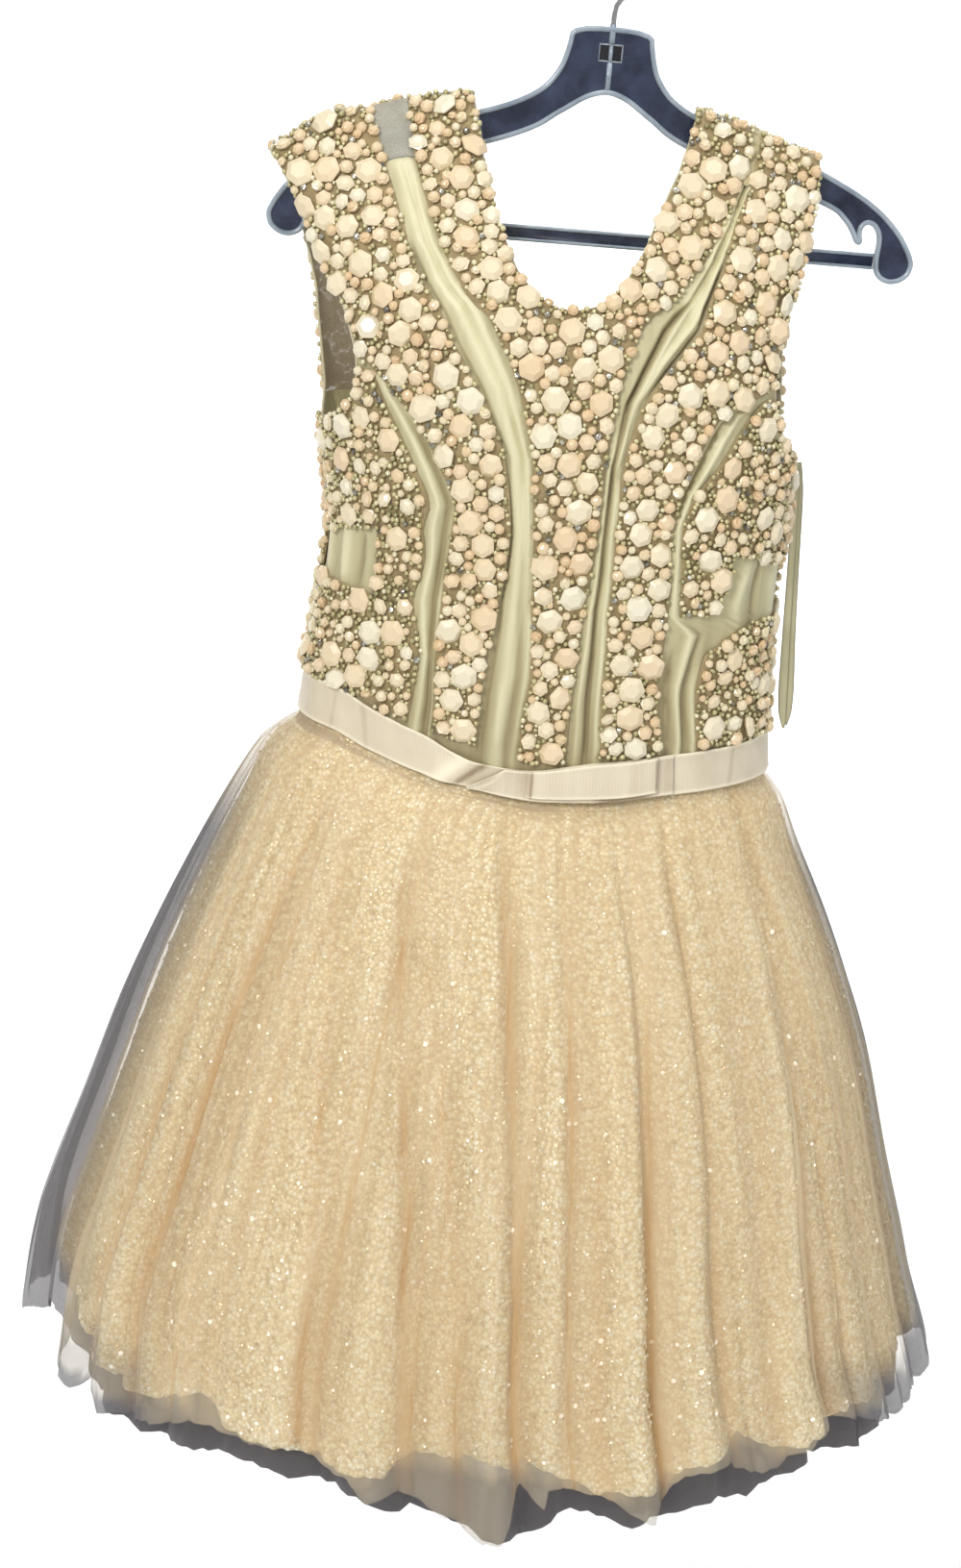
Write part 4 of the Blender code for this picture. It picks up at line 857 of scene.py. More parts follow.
CLEAR = {"disc": 0.86, "round": 0.72, "crystal": 0.70, "pearl": 0.55}
for name, tables in BANDS.items():
    side = "back" if "back" in name else "front"
    pearly = 0.62 if "side" in name else 1.0
    for kind, (small, large), inside, tries, most, tight in SIZES:
        rows, area = candidates(tables, 4)
        # smaller stones towards the shoulders and the sides (fewer discs and round beads there); fewer pearls on the
        # back
        share = pearly if kind in ("disc", "round") else 1.0
        if side == "back" and kind == "pearl":
            tries, most = tries * 0.7, most * 0.6
        rows, _ = candidates(tables, int(area / 1000 * tries))
        radius = rng.uniform(small, large, len(rows))
        p = bodice(rows[:, 0], rows[:, 1])
        n = outward(bodice, rows[:, 0], np.minimum(rows[:, 1], 1.96))
        spots = p + n * (GROUND_LIFT * MM)
        good = rows[:, 2] >= radius * inside
        if side == "front":
            good &= channel_room(rows[:, 0], rows[:, 1]) >= radius * CLEAR[kind]
        # mostly pearls and small beads on top of the shoulders
        if kind in ("disc", "round"):
            good &= (rows[:, 1] < 1.78) | (rng.uniform(0, 1, len(rows)) < (0.06 if kind == "disc" else 0.35))
        rows, radius, n, spots = rows[good], radius[good], n[good], spots[good]
        good = clear_of(spots, radius * MM, placed[side], tight)
        rows, radius, n, spots = rows[good], radius[good], n[good], spots[good]
        packing = Packing(2.0 * large * MM)
        limit, done = area / 1000 * most * share, 0
        for i in range(len(rows)):
            if done >= limit:
                break
            if packing.free(spots[i], radius[i] * MM, tight):
                packing.add(spots[i], radius[i] * MM)
                placed[side].append((kind, spots[i], n[i], radius[i], rows[i, 2]))
                done += 1


def ring_points(angles, radius, height):
    return [(radius * cos(radians(a)), radius * sin(radians(a)), height) for a in angles]


def lathe(rings, top, bottom):
    """Rings of equal counts, closed by flat ends, as triangles."""
    n = len(rings[0])
    points = [p for ring in rings for p in ring]
    faces = []
    for r in range(len(rings) - 1):
        for k in range(n):
            a, b = r * n + k, r * n + (k + 1) % n
            faces += [(a, b, b + n), (a, b + n, a + n)]
    if bottom is None:
        faces += [(0, k + 1, k) for k in range(1, n - 1)]
    else:
        points.append(bottom)
        faces += [(len(points) - 1, (k + 1) % n, k) for k in range(n)]
    last = (len(rings) - 1) * n
    if top is None:
        faces += [(last, last + k, last + k + 1) for k in range(1, n - 1)]
    else:
        points.append(top)
        faces += [(len(points) - 1, last + k, last + (k + 1) % n) for k in range(n)]
    return np.array(points, float), np.array(faces, int)


CORNERS = [a + d for a in range(0, 360, 60) for d in (-4.5, 4.5)]
DISC_SHAPE = lathe([ring_points(CORNERS, 0.88, 0.0), ring_points(CORNERS, 1.08, 0.14), ring_points(CORNERS, 1.06, 0.26), ring_points(CORNERS, 0.60, 0.58)], None, None)
PLAIN_CORNERS = [a * 60.0 for a in range(6)]
TURNED = [a * 60.0 + 30.0 for a in range(6)]
CUT_SHAPE = lathe([ring_points(PLAIN_CORNERS, 0.84, 0.0), ring_points(PLAIN_CORNERS, 1.06, 0.30), ring_points(TURNED, 0.88, 0.54), ring_points(TURNED, 0.46, 0.80)], None, None)
BEAD_RINGS = [ring_points([k * 60.0 + t for k in range(6)], r, h) for t, r, h in ((0, 0.52, 0.10), (30, 0.92, 0.42), (0, 1.0, 0.86), (30, 0.86, 1.26), (0, 0.48, 1.58))]
BEAD_SHAPE = lathe(BEAD_RINGS, (0.0, 0.0, 1.68), (0.0, 0.0, 0.02))
PEARL_RINGS = [ring_points([k * 60.0 + t for k in range(6)], r, h) for t, r, h in ((0, 0.70, 0.30), (30, 1.0, 0.95), (0, 0.72, 1.66))]
PEARL_SHAPE = lathe(PEARL_RINGS, (0.0, 0.0, 1.98), (0.0, 0.0, 0.0))


def spread(name, shape, items, mat, smooth_shade, flat=1.0, tilt=8.0, sink=0.0, edge_tilt=0.0):
    """One joined mesh of many copies. items: (spot, normal, radius mm, room mm)."""
    base, faces = shape
    count = len(items)
    spot = np.array([i[0] for i in items])
    normal = np.array([i[1] for i in items])
    radius = np.array([i[2] for i in items]) * MM
    room = np.array([i[3] for i in items])
    helper = np.where(np.abs(normal[:, 2:3]) > 0.9, np.array([[1.0, 0, 0]]), np.array([[0, 0, 1.0]]))
    x = np.cross(helper, normal)
    x /= np.linalg.norm(x, axis=1, keepdims=True)
    y = np.cross(normal, x)
    lean = np.radians(rng.normal(0, tilt, (count, 2)))
    near = (room < radius / MM * 1.1)[:, None] * np.radians(rng.normal(0, max(edge_tilt, 1e-6), (count, 2)))
    lean = lean + near
    up = normal + x * np.tan(lean[:, :1]) + y * np.tan(lean[:, 1:])
    up /= np.linalg.norm(up, axis=1, keepdims=True)
    spin = rng.uniform(0, 2 * pi, count)[:, None]
    x = np.cos(spin) * x + np.sin(spin) * y
    x -= (x * up).sum(1, keepdims=True) * up
    x /= np.linalg.norm(x, axis=1, keepdims=True)
    y = np.cross(up, x)
    oval = rng.uniform(0.93, 1.05, (count, 2))
    local = base[None] * radius[:, None, None] * np.stack([oval[:, 0], oval[:, 1], np.full(count, flat)], 1)[:, None, :]
    world = (
        spot[:, None] - normal[:, None] * (sink * radius)[:, None, None]
        + local[..., :1] * x[:, None] + local[..., 1:2] * y[:, None] + local[..., 2:] * up[:, None]
    )
    all_faces = (faces[None] + (np.arange(count) * len(base))[:, None, None]).reshape(-1, faces.shape[1])
    return build(name, world.reshape(-1, 3), [all_faces], [mat], smooth_shade)


bead_pieces = {"front": [], "back": []}
for side in ("front", "back"):
    rows = placed[side]
    pick = lambda kind, low=0.0, high=99.0: [r[1:] for r in rows if r[0] == kind and low <= r[3] < high]
    bead_pieces[side] = [
        spread("large_discs_" + side, DISC_SHAPE, pick("disc", 7.0), DISC, False, 1.0, 5.0, 0.0, 12.0),
        spread("small_discs_" + side, CUT_SHAPE, pick("disc", 0.0, 7.0), DISC, False, 0.95, 9.0, 0.0, 16.0),
        spread("round_beads_" + side, BEAD_SHAPE, pick("round"), ROUND, False, 0.92, 25.0, 0.10),
        spread("crystals_" + side, BEAD_SHAPE, pick("crystal"), CRYSTAL, False, 0.9, 35.0, 0.05),
        spread("pearls_" + side, PEARL_SHAPE, pick("pearl"), PEARL, True, 0.95, 20.0, 0.05),
    ]

# ------------------------------------------------------------------ skirt
def pleat_rows(count, seed):
    """Narrow pleats: waist angle, hem angle, half width (degrees), depth (mm), first and last share, darkness (painted
    shade in the pleat's valley).
    """
    r = np.random.default_rng(seed)
    at = np.linspace(-90, 270, count, endpoint=False) + r.uniform(-2.8, 2.8, count)
    return [
        (x + r.uniform(-2.5, 2.5), x, r.uniform(0.5, 1.4), r.uniform(1.0, 4.2), r.uniform(0.0, 0.40), r.uniform(0.6, 1.6), r.uniform(0.14, 0.46))
        for x in at
    ]


PLEATS = pleat_rows(136, 5)


def flank(d, wide, steep_side):
    """A valley with one steep and one gentle flank, from 0 at its edges to 1 in its line."""
    gentle, steep = 1.35, 0.50
    left, right = (steep, gentle) if steep_side else (gentle, steep)
    return np.clip(1 - np.where(d < 0, -d / (wide * left), d / (wide * right)), 0, 1)


def skirt_fold(angle, t, share, seed, fine):
    """How far the cloth lies behind its form (mm), and the crest tone: painted shade in the fold valleys, painted
    highlight beside their steep flanks.
    """
    deep, dark = np.zeros(np.shape(angle)), np.zeros(np.shape(angle))
    a = np.where(angle < -90, angle + 360, angle)
    lean = (1 - np.clip(share, 0, 1)) ** 2.2
    for k, (top, hem, width, depth, start) in enumerate(FOLDS):
        at = hem + (top - hem) * lean + 0.8 * noise1(share * 5.0, k + 3.0)
        wide = width * (0.70 + 0.50 * share) * (1 + 0.2 * noise1(share * 7.0, k + 13.0))
        d = (a - at + 180) % 360 - 180
        grow = np.clip((share - start) / 0.80, 0, 1) ** 0.6 * np.clip((share - 0.015) / 0.05, 0, 1)
        valley = flank(d, wide, k % 3 != 1)
        deep = deep + depth * grow * valley ** 1.3
        # painted shade in each fold's valley
        dark = dark + 0.62 * np.clip(depth / 14.0, 0.5, 1.15) * grow ** 0.6 * valley ** 4.0
        # the cloth stands up a little beside the steep flank, and is painted lighter there: a painted highlight
        ridge = np.exp(-(((d - (-0.75 if k % 3 != 1 else 0.75) * wide) / (0.35 * wide)) ** 2))
        deep = deep - 0.22 * depth * grow * ridge
        dark = dark - 0.16 * grow * ridge
    for k, (top, hem, width, depth, first, last, tone) in enumerate(PLEATS):
        at = hem + (top - hem) * lean + 0.35 * noise1(share * 8.0, k + 103.0 + seed)
        d = (a - at + 180) % 360 - 180
        along = np.clip((share - first) / 0.12, 0, 1) * np.clip((last - share) / 0.15, 0, 1)
        valley = flank(d, width, k % 2 == 0)
        deep = deep + depth * (0.35 + 0.65 * share) * along * valley ** 1.2
        # painted shade in each pleat's valley
        dark = dark + tone * along * valley ** 1.6
    gather = np.clip((share - 0.02) / 0.05, 0, 1) * np.exp(-share * 2.4)
    rib = noise1(a * 0.95 + 0.5 * noise1(share * 6, 2.0), 7.0)
    mid = (1.2 + 2.4 * share) * np.clip((share - 0.02) / 0.1, 0, 1) * noise1(a * 0.42 + 1.1 * share, 11.0)
    own = fine * np.clip((share - 0.04) / 0.25, 0, 1) * noise1(a * 0.78 + 2.0 * share, seed)
    # crest: the painted shade and highlights above, painted lighter where the gathers and wide waves stand out, plus
    # random tone
    crest = 0.78 - dark + 0.20 * rib * np.exp(-share * 1.4) + 0.10 * noise1(a * 0.42 + 1.1 * share, 11.0) + 0.10 * noise1(a * 1.9 + share, seed + 2)
    return deep * 0.92 - 1.35 * gather * rib - mid * 0.7 - own - 0.5 + 3.5 * share, np.clip(crest, 0, 1)


def skirt_layer(inset, hem, foldness, seed, fine, ragged):
    hem_f = straight(hem, 1)
    inset_f = straight(inset, 1) if inset else (lambda s: 0.0 * s)
    shift_f = straight(inset, 2) if inset else (lambda s: 0.0 * s)

    def surface(angle, t):
        a = np.where(angle < -90, angle + 360, angle)
        top = WAIST_F(turn(angle)) * MM + SKIRT_HEAD
        foot = (hem_f(a) + ragged * noise1(a * 1.7, seed + 5)) * MM
        z = top + t * (foot - top)
        share = (top - z) / SKIRT_LENGTH
        x0, half, front, back, n = (f(share) for f in SKIRT_F)
        deep, crest = skirt_fold(angle, t, share, seed, fine)
        shrink = inset_f(share) + deep * foldness
        x, y = section(angle, half - shrink, front - shrink, back - shrink, n, x0 + shift_f(share))
        return np.stack([x, y, z], -1), crest

    return surface


LAYERS = {
    "overlay": (skirt_layer(None, OVERLAY_HEM, 1.0, 31.0, 1.0, 1.5), 330, 58, 0.30, OVERLAY),
    "sequin": (skirt_layer(SEQUIN_INSET, SEQUIN_HEM, 0.88, 31.0, 0.6, 2.0), 270, 46, 0.7, SEQUIN_CLOTH),
    "under": (skirt_layer(UNDER_INSET, [(a, z - 9) for a, z in UNDER_HEM], 0.75, 43.0, 0.8, 2.0), 150, 34, 0.30, UNDER),
}
skirts = {}
for layer, (surface, across, down, thick, mat) in LAYERS.items():
    for part, low, high in (("front", -89.95, 89.95), ("back", 90.05, 269.95)):
        # columns stand evenly along the section's own length
        fine = np.linspace(low, high, 721)
        p, _ = surface(fine, np.full(721, 0.6))
        length = np.concatenate([[0], np.cumsum(np.linalg.norm(np.diff(p, axis=0), axis=1))])
        columns = np.interp(np.linspace(0, length[-1], across), length, fine)
        t = np.linspace(0, 1, down) ** 0.92
        a, tt = np.meshgrid(columns, t)
        p, crest = surface(a, tt)
        quads = grid_faces(down, across, 0, True)
        # grey: painted shade where nothing lies behind the tulle: at its side edges, where it hangs below the sequins
        # and near the hem at the sides; on the under layer, along its hem
        side_left = np.clip(1 - np.abs(a + 90 if part == "front" else a - 270) / 30.0, 0, 1)
        side_right = np.clip(1 - np.abs(a - 90) / 21.0, 0, 1)
        sequins_end = straight(SEQUIN_HEM, 1)(np.where(a < -90, a + 360, a)) * MM
        bare = np.clip((sequins_end + 3 * MM - p[..., 2]) / (7 * MM), 0, 1)
        low_down = bare * 0.50
        grey = np.clip(1.45 * side_left ** 1.2 + 1.2 * side_right ** 1.2, 0, 1) * np.clip(tt / 0.20, 0, 1) + low_down
        turned = np.where(a < -90, a + 360, a)
        off = np.abs(turn(turned))
        corner = np.clip((off - 44) / 10, 0, 1) * np.clip((116 - off) / 10, 0, 1)
        grey = grey + corner * (0.38 * bare + 0.62 * np.clip((tt - 0.885) / 0.05, 0, 1))
        if layer == "under":
            grey = np.clip((tt - 0.78) / 0.14, 0, 1)
        veil = np.clip(0.45 + 0.75 * noise1(turned * 0.30 + 0.6 * tt, 91.0) + 0.35 * noise1(turned * 0.9 + tt, 93.0), 0, 1) * (layer == "overlay")
        # painted shade: the sequin layer's colour darkens towards the waist, against the stronger light it gets there
        if layer == "sequin":
            crest = np.clip(crest - 0.16 * np.clip((0.26 - tt) / 0.20, 0, 1), 0, 1)
        tones = {"crest": crest.ravel(), "grey": np.clip(grey, 0, 1).ravel(), "veil": veil.ravel()}
        skirts[layer, part] = cloth("skirt_" + layer + "_" + part + "_cloth", p.reshape(-1, 3), quads, thick * MM, [mat], tones)

# loose sequins in wandering clusters on the sequin layer
SEQUIN_SHAPE = lathe([ring_points([k * 72.0 for k in range(5)], 1.0, 0.0)], (0.0, 0.0, -0.22), (0.0, 0.0, -0.42))
SEQUIN_SHAPE = (SEQUIN_SHAPE[0] * np.array([1, 1, 1.0]), SEQUIN_SHAPE[1])
surface = LAYERS["sequin"][0]
sequin_pieces, glint_pieces = {}, {}
for part, low, high, wanted in (("front", -88.5, 88.5, 9000), ("back", 91.5, 268.5, 5200)):
    n = wanted * 5
    a = rng.uniform(low, high, n)
    t = np.sqrt(rng.uniform(0.0016, 0.985, n))
    p, crest = surface(a, t)
    x, z = p[:, 0] / MM, p[:, 2] / MM
    arc = a * 3.6
    wander = np.sin(arc / 9.0 + 2.2 * np.sin(z / 17.0)) * np.sin(z / 8.0 + 2.0 * np.sin(arc / 13.0)) + 0.5 * np.sin(arc / 31.0 + z / 47.0)
    # the wider angles at the sides hold less cloth for each degree
    stretch = np.sqrt((np.cos(np.radians(a)) * 300) ** 2 + (np.sin(np.radians(a)) * 210) ** 2) / 300
    keep = rng.uniform(0, 1, n) < np.clip(0.42 + 0.40 * wander, 0.06, 1) * stretch * 0.6
    a, t, p = a[keep][:wanted], t[keep][:wanted], p[keep][:wanted]
    da, _ = surface(a + 0.3, t)
    db, _ = surface(a - 0.3, t)
    ta, _ = surface(a, np.minimum(t + 0.004, 1))
    tb, _ = surface(a, t - 0.004)
    normal = np.cross(ta - tb, da - db)
    normal /= np.maximum(np.linalg.norm(normal, axis=1, keepdims=True), 1e-9)
    away = p.copy()
    away[:, 2] = 0
    normal *= np.sign((normal * away).sum(1))[:, None]
    size = rng.uniform(1.15, 1.75, len(a))
    items = [(p[i] + normal[i] * 0.7 * MM, normal[i], size[i], 99.0) for i in range(len(a))]
    sequin_pieces[part] = spread("sequins_" + part, SEQUIN_SHAPE, items, SEQUIN, False, 1.0, 17.0)
    # every 90th sequin gets a painted-glint copy laid over it
    bright = [(i[0] + i[1] * 0.9 * MM, i[1], 1.5 + 0.5 * (k % 3) / 2, 99.0) for k, i in enumerate(items[::90])]
    glint_pieces[part] = spread("sequin_glints_" + part, SEQUIN_SHAPE, bright, GLINT, False, 1.0, 10.0)

# ------------------------------------------------------------------ waistband
band_top = smooth(BAND_TOP, 1)


def ribbon_sheet(name, low, high, steps, lift, thick, mat, foot=lambda a: 0.0 * a, head=lambda a: 1.0 + 0.0 * a, crease=None):
    a = np.linspace(low, high, steps)
    u = np.array([0.0, 0.035, 0.07, 0.11, 0.2, 0.35, 0.5, 0.65, 0.8, 0.89, 0.93, 0.965, 1.0])
    grid_a, grid_u = np.meshgrid(a, u)
    lo, hi = foot(grid_a), head(grid_a)
    share = lo + (hi - lo) * grid_u
    turned = turn(grid_a)
    v = share * band_top(turned)
    n = outward(bodice, grid_a, np.maximum(v, 0.004))
    piping = np.exp(-((grid_u - 0.035) / 0.035) ** 2) + np.exp(-((grid_u - 0.965) / 0.035) ** 2)
    rise = lift(grid_a, grid_u) + 0.45 * piping
    p = bodice(grid_a, v) + n * (rise * MM)[..., None]
    tone = np.clip(0.42 + 0.5 * piping + (crease(grid_a, grid_u) if crease else 0.0), 0, 1)
    along = np.stack([grid_a * 0.0028, grid_u * 0.02, 0 * grid_a], -1)
    return cloth(name, p.reshape(-1, 3), grid_faces(len(u), steps), thick * MM, [mat], {"crest": tone.ravel(), "cloth": along.reshape(-1, 3)})


def band_lift(a, u):
    wave = 0.45 * noise1(a * 0.16, 51.0) + 0.35 * noise1(a * 0.5 + u * 2, 53.0)
    # the ribbon turns over on itself left of the centre: a raised roll, then a hollow
    roll = 3.4 * np.exp(-((a + 24.5 - 7.0 * u) / 3.4) ** 2)
    hollow = -1.0 * np.exp(-((a + 17.5 - 6.0 * u) / 2.6) ** 2)
    return (1.8 + wave) * (0.55 + 0.45 * np.sqrt(u)) + roll + hollow


# painted shade and light on the waistband: dark lines in the crease and tucks, a painted highlight on the roll, painted
# shadow under the lap's edge and beside the bow tab's right end
def band_crease(a, u):
    line = -0.62 * np.exp(-((a + 20.8 - 7.0 * u) / 1.0) ** 2) + 0.44 * np.exp(-((a + 25.5 - 7.0 * u) / 2.2) ** 2) - 0.60 * np.exp(-((a - 29.3) / 0.9) ** 2)
    tucks = -0.16 * np.exp(-((a + 46.0 + 3.0 * u) / 0.8) ** 2) - 0.18 * np.exp(-((a + 60.0) / 0.7) ** 2) - 0.2 * np.exp(-((a - 52.0 - 2.0 * u) / 0.8) ** 2)
    return 0.09 + 0.09 * noise1(a * 0.20 + u * 1.6, 57.0) + line + tucks - 0.35 * np.exp(-((a + 14.0 - 8.0 * u) / 2.6) ** 2)


waist_front = ribbon_sheet("waistband_front_ribbon", -89.8, 89.8, 220, band_lift, 0.9, RIBBON, crease=band_crease)
waist_left = ribbon_sheet("waistband_back_left_ribbon", -179.8, -90.2, 90, band_lift, 0.9, RIBBON, crease=band_crease)
waist_right = ribbon_sheet("waistband_back_right_ribbon", 90.2, 179.8, 90, band_lift, 0.9, RIBBON, crease=band_crease)
# the front end of the ribbon laps over the left part: pointed at its lower corner
# the lap's tone: a painted highlight along its pointed edge, darker towards its top, and painted shadow below the bow
# tab across its lower part
wrap = ribbon_sheet(
    "waistband_lap", -17.8, 33.0, 110, lambda a, u: 4.6 + 0.35 * noise1(a * 0.3, 61.0) - 1.6 * np.clip((a - 18) / 15, 0, 1) - 0.5 * u, 0.8, RIBBON,
    foot=lambda a: 0.04 + 0.0 * a, head=lambda a: np.clip((a + 17.8) / 8.6, 0.08, 1.0), crease=lambda a, u: 0.12 * noise1(a * 0.4, 63.0) + 0.25 * np.exp(-((a + 17.8 - 8.6 * u) / 0.9) ** 2) - 0.10 * np.clip((u - 0.5), 0, 1) - 0.8 * np.exp(-((a - 19.5) / 7.0) ** 4) * np.clip((0.17 - u) / 0.04, 0, 1),
)
# the tab is coloured darker at both ends: a dark line at its left seam and painted shade at its right end, where it
# stands off the band
bow = ribbon_sheet(
    "bow_tab_ribbon", BOW[0], BOW[1], 90,
    lambda a, u: 6.0 + 1.6 * np.sin(pi * np.clip((a - BOW[0]) / (BOW[1] - BOW[0]), 0, 1)) ** 0.5 + 0.35 * np.sin(pi * u) + 0.25 * noise1(a * 0.5, 65.0), 2.0, RIBBON,
    foot=lambda a: 0.16 + 0.0 * a, head=lambda a: 1.02 + 0.0 * a,
    crease=lambda a, u: 0.16 - 0.75 * np.exp(-((a - BOW[0] - 0.7) / 0.40) ** 2) - 0.6 * np.exp(-((a - BOW[1] + 0.40) / 0.35) ** 2) + 0.10 * noise1(a * 0.6, 66.0),
)

# ------------------------------------------------------------------ ribbon hanger loop at the right underarm
# height, centre x, half width (mm)
LOOP = ((-328, 151.5, 2.6), (-350, 154.0, 3.6), (-400, 157.0, 4.0), (-450, 160.0, 4.6), (-485, 162.5, 5.2), (-500, 163.5, 4.6), (-509, 164.1, 2.6), (-514, 164.4, 0.9))
loop_x, loop_w = smooth([(-r[0], r[1]) for r in LOOP], 1), smooth([(-r[0], r[2]) for r in LOOP], 1)


def strand(name, side, top, foot):
    z = np.linspace(top, foot, 60)
    u = np.linspace(-1, 1, 7)
    uu, zz = np.meshgrid(u, z)
    width = loop_w(-zz) * 0.62
    lean = loop_w(-zz) * 0.42 * side
    bend = 0.9 * noise1(zz * 0.03, 71.0 + side) + 0.5 * np.cos(uu * 1.3)
    p = np.stack([loop_x(-zz) + lean + uu * width, side * 0.75 + bend * 0.5, zz], -1) * MM
    along = np.stack([uu * 0.004, zz * 0.001, 0 * zz], -1)
    # painted shade: darker towards the strand's curled edges, and the rear strand darker still
    tone = 0.80 - 0.75 * np.abs(uu) ** 4 - 0.2 * (side > 0)
    return cloth(name, p.reshape(-1, 3), grid_faces(60, 7, 0, True), 0.35 * MM, [LOOP_RIBBON], {"crest": tone.ravel(), "cloth": along.reshape(-1, 3)})


strand_front = strand("ribbon_loop_strand", -1.0, -329.0, -513.0)
strand_rear = strand("ribbon_loop_back_strand", 1.0, -329.0, -511.0)

# ------------------------------------------------------------------ hanger
# x, top edge, lower edge (mm)
HANGER = (
    (26.0, -63.0, -117.0), (28.5, -78.0, -118.5), (32.0, -90.0, -121.0), (40.0, -101.0, -127.0), (50.0, -108.0, -132.0),
    (65.0, -115.0, -138.0), (90.0, -123.0, -146.0), (120.0, -132.5, -154.0), (140.0, -138.0, -159.0), (156.0, -145.0, -165.0),
)
HANGER_END = (
    (174.0, -153.5), (189.0, -163.5), (201.0, -175.0), (208.5, -186.0), (212.0, -194.0), (210.0, -202.0), (204.0, -207.0),
    (196.5, -208.5), (189.5, -206.0), (185.4, -200.5), (184.7, -191.5), (185.6, -183.0), (184.9, -176.8), (181.8, -172.2), (177.8, -171.2), (175.2, -173.8), (175.0, -178.0),
    (176.2, -182.3), (174.4, -185.0), (171.0, -183.8), (168.4, -178.8), (165.0, -173.6), (161.0, -169.4),
)
right = [(x, t) for x, t, b in HANGER] + list(HANGER_END) + [(x, b) for x, t, b in reversed(HANGER)] + [(12.0, -107.5), (0.0, -104.0)]
outline = np.array(right + [(-x, z) for x, z in reversed(right[:-1])])


def rounded(path, times=2):
    """Corner cutting that keeps straight runs straight."""
    for _ in range(times):
        nxt = np.roll(path, -1, axis=0)
        path = np.stack([0.78 * path + 0.22 * nxt, 0.22 * path + 0.78 * nxt], 1).reshape(-1, 2)
    return path


outline = rounded(outline)


def inward(path):
    d = np.roll(path, -1, axis=0) - np.roll(path, 1, axis=0)
    d /= np.maximum(np.linalg.norm(d, axis=1, keepdims=True), 1e-9)
    return np.stack([d[:, 1], -d[:, 0]], 1)


inner = inward(outline)
around = 12
rim_points = []
for k in range(around):
    a = 2 * pi * k / around
    across = 1.75 + 1.75 * np.sign(cos(a)) * abs(cos(a)) ** 0.7
    deep = 2.9 * np.sign(sin(a)) * abs(sin(a)) ** 0.7
    q = outline + inner * across
    rim_points.append(np.stack([q[:, 0], np.full(len(q), deep), q[:, 1]], 1) * MM)
n = len(outline)
rim_faces = []
for k in range(around):
    a = k * n + np.arange(n)
    b = ((k + 1) % around) * n + np.arange(n)
    rim_faces.append(np.stack([a, np.roll(a, -1), np.roll(b, -1), b], -1))
hanger_rim = build("hanger_rim", np.concatenate(rim_points), [np.concatenate(rim_faces)], [RIM], True)


def plate(name, loops, half, mat):
    """A flat plate between outlines (mm): the first is its edge, the others are holes."""
    flat = [[(x, z, 0.0) for x, z in loop] for loop in loops]
    corners = [p for loop in loops for p in loop]
    tris = np.array(tessellate_polygon(flat))
    pts = np.array(corners)
    count = len(pts)
    front = np.stack([pts[:, 0], np.full(count, -half), pts[:, 1]], 1) * MM
    rear = np.stack([pts[:, 0], np.full(count, half), pts[:, 1]], 1) * MM
    # front faces look towards -Y
    a, b, c = (front[tris[:, k]] for k in range(3))
    wrong = np.cross(b - a, c - a)[:, 1] > 0
    tris[wrong] = tris[wrong][:, ::-1]
    edges = np.concatenate([tris[:, [0, 1]], tris[:, [1, 2]], tris[:, [2, 0]]])
    code, back = edges[:, 0] * count + edges[:, 1], edges[:, 1] * count + edges[:, 0]
    rim = edges[~np.isin(code, back)]
    sides = np.stack([rim[:, 1], rim[:, 0], rim[:, 0] + count, rim[:, 1] + count], -1)
    return build(name, np.concatenate([front, rear]), [tris, tris[:, ::-1] + count, sides], [mat], False)


web_edge = outline + inner * 1.5
WINDOW = [(-7.0, -74.0), (7.0, -74.0), (7.0, -83.8), (-7.0, -83.8)]
hanger_web = plate("hanger_web", [web_edge.tolist(), WINDOW], 1.1, WEB)
# the pane in the window carries the painted shade of the recess
PANE = [(-6.9, -74.1), (6.9, -74.1), (6.9, -83.7), (-6.9, -83.7)]
hanger_pane = plate("hanger_recess", [PANE], 0.35, WINDOW_SHADE)


def rod(points_mm, half_w, half_d):
    """Closed round-edged bar along a line in the hanger's plane, as (points, faces)."""
    p = np.asarray(points_mm, float)
    d = np.gradient(p, axis=0)
    d /= np.linalg.norm(d, axis=1, keepdims=True)
    side = np.stack([d[:, 1], -d[:, 0]], 1)
    pts = []
    for k in range(around):
        a = 2 * pi * k / around
        q = p + side * half_w * np.sign(cos(a)) * abs(cos(a)) ** 0.6
        pts.append(np.stack([q[:, 0], np.full(len(q), half_d * np.sign(sin(a)) * abs(sin(a)) ** 0.6), q[:, 1]], 1) * MM)
    pts = np.stack(pts, 1).reshape(-1, 3)
    m = len(p)
    quads = []
    for r in range(m - 1):
        for k in range(around):
            a, b = r * around + k, r * around + (k + 1) % around
            quads.append((a, a + around, b + around, b))
    caps = [(0, k, k + 1) for k in range(1, around - 1)] + [((m - 1) * around, (m - 1) * around + k + 1, (m - 1) * around + k) for k in range(1, around - 1)]
    return pts, np.array(quads), np.array(caps)


def rods(name, specs, mat):
    points, quads, caps, first = [], [], [], 0
    for line, half_w, half_d in specs:
        p, q, c = rod(line, half_w, half_d)
        points.append(p)
        quads.append(q + first)
        caps.append(c + first)
        first += len(p)
    return build(name, np.concatenate(points), [np.concatenate(quads), np.concatenate(caps)], [mat], True)


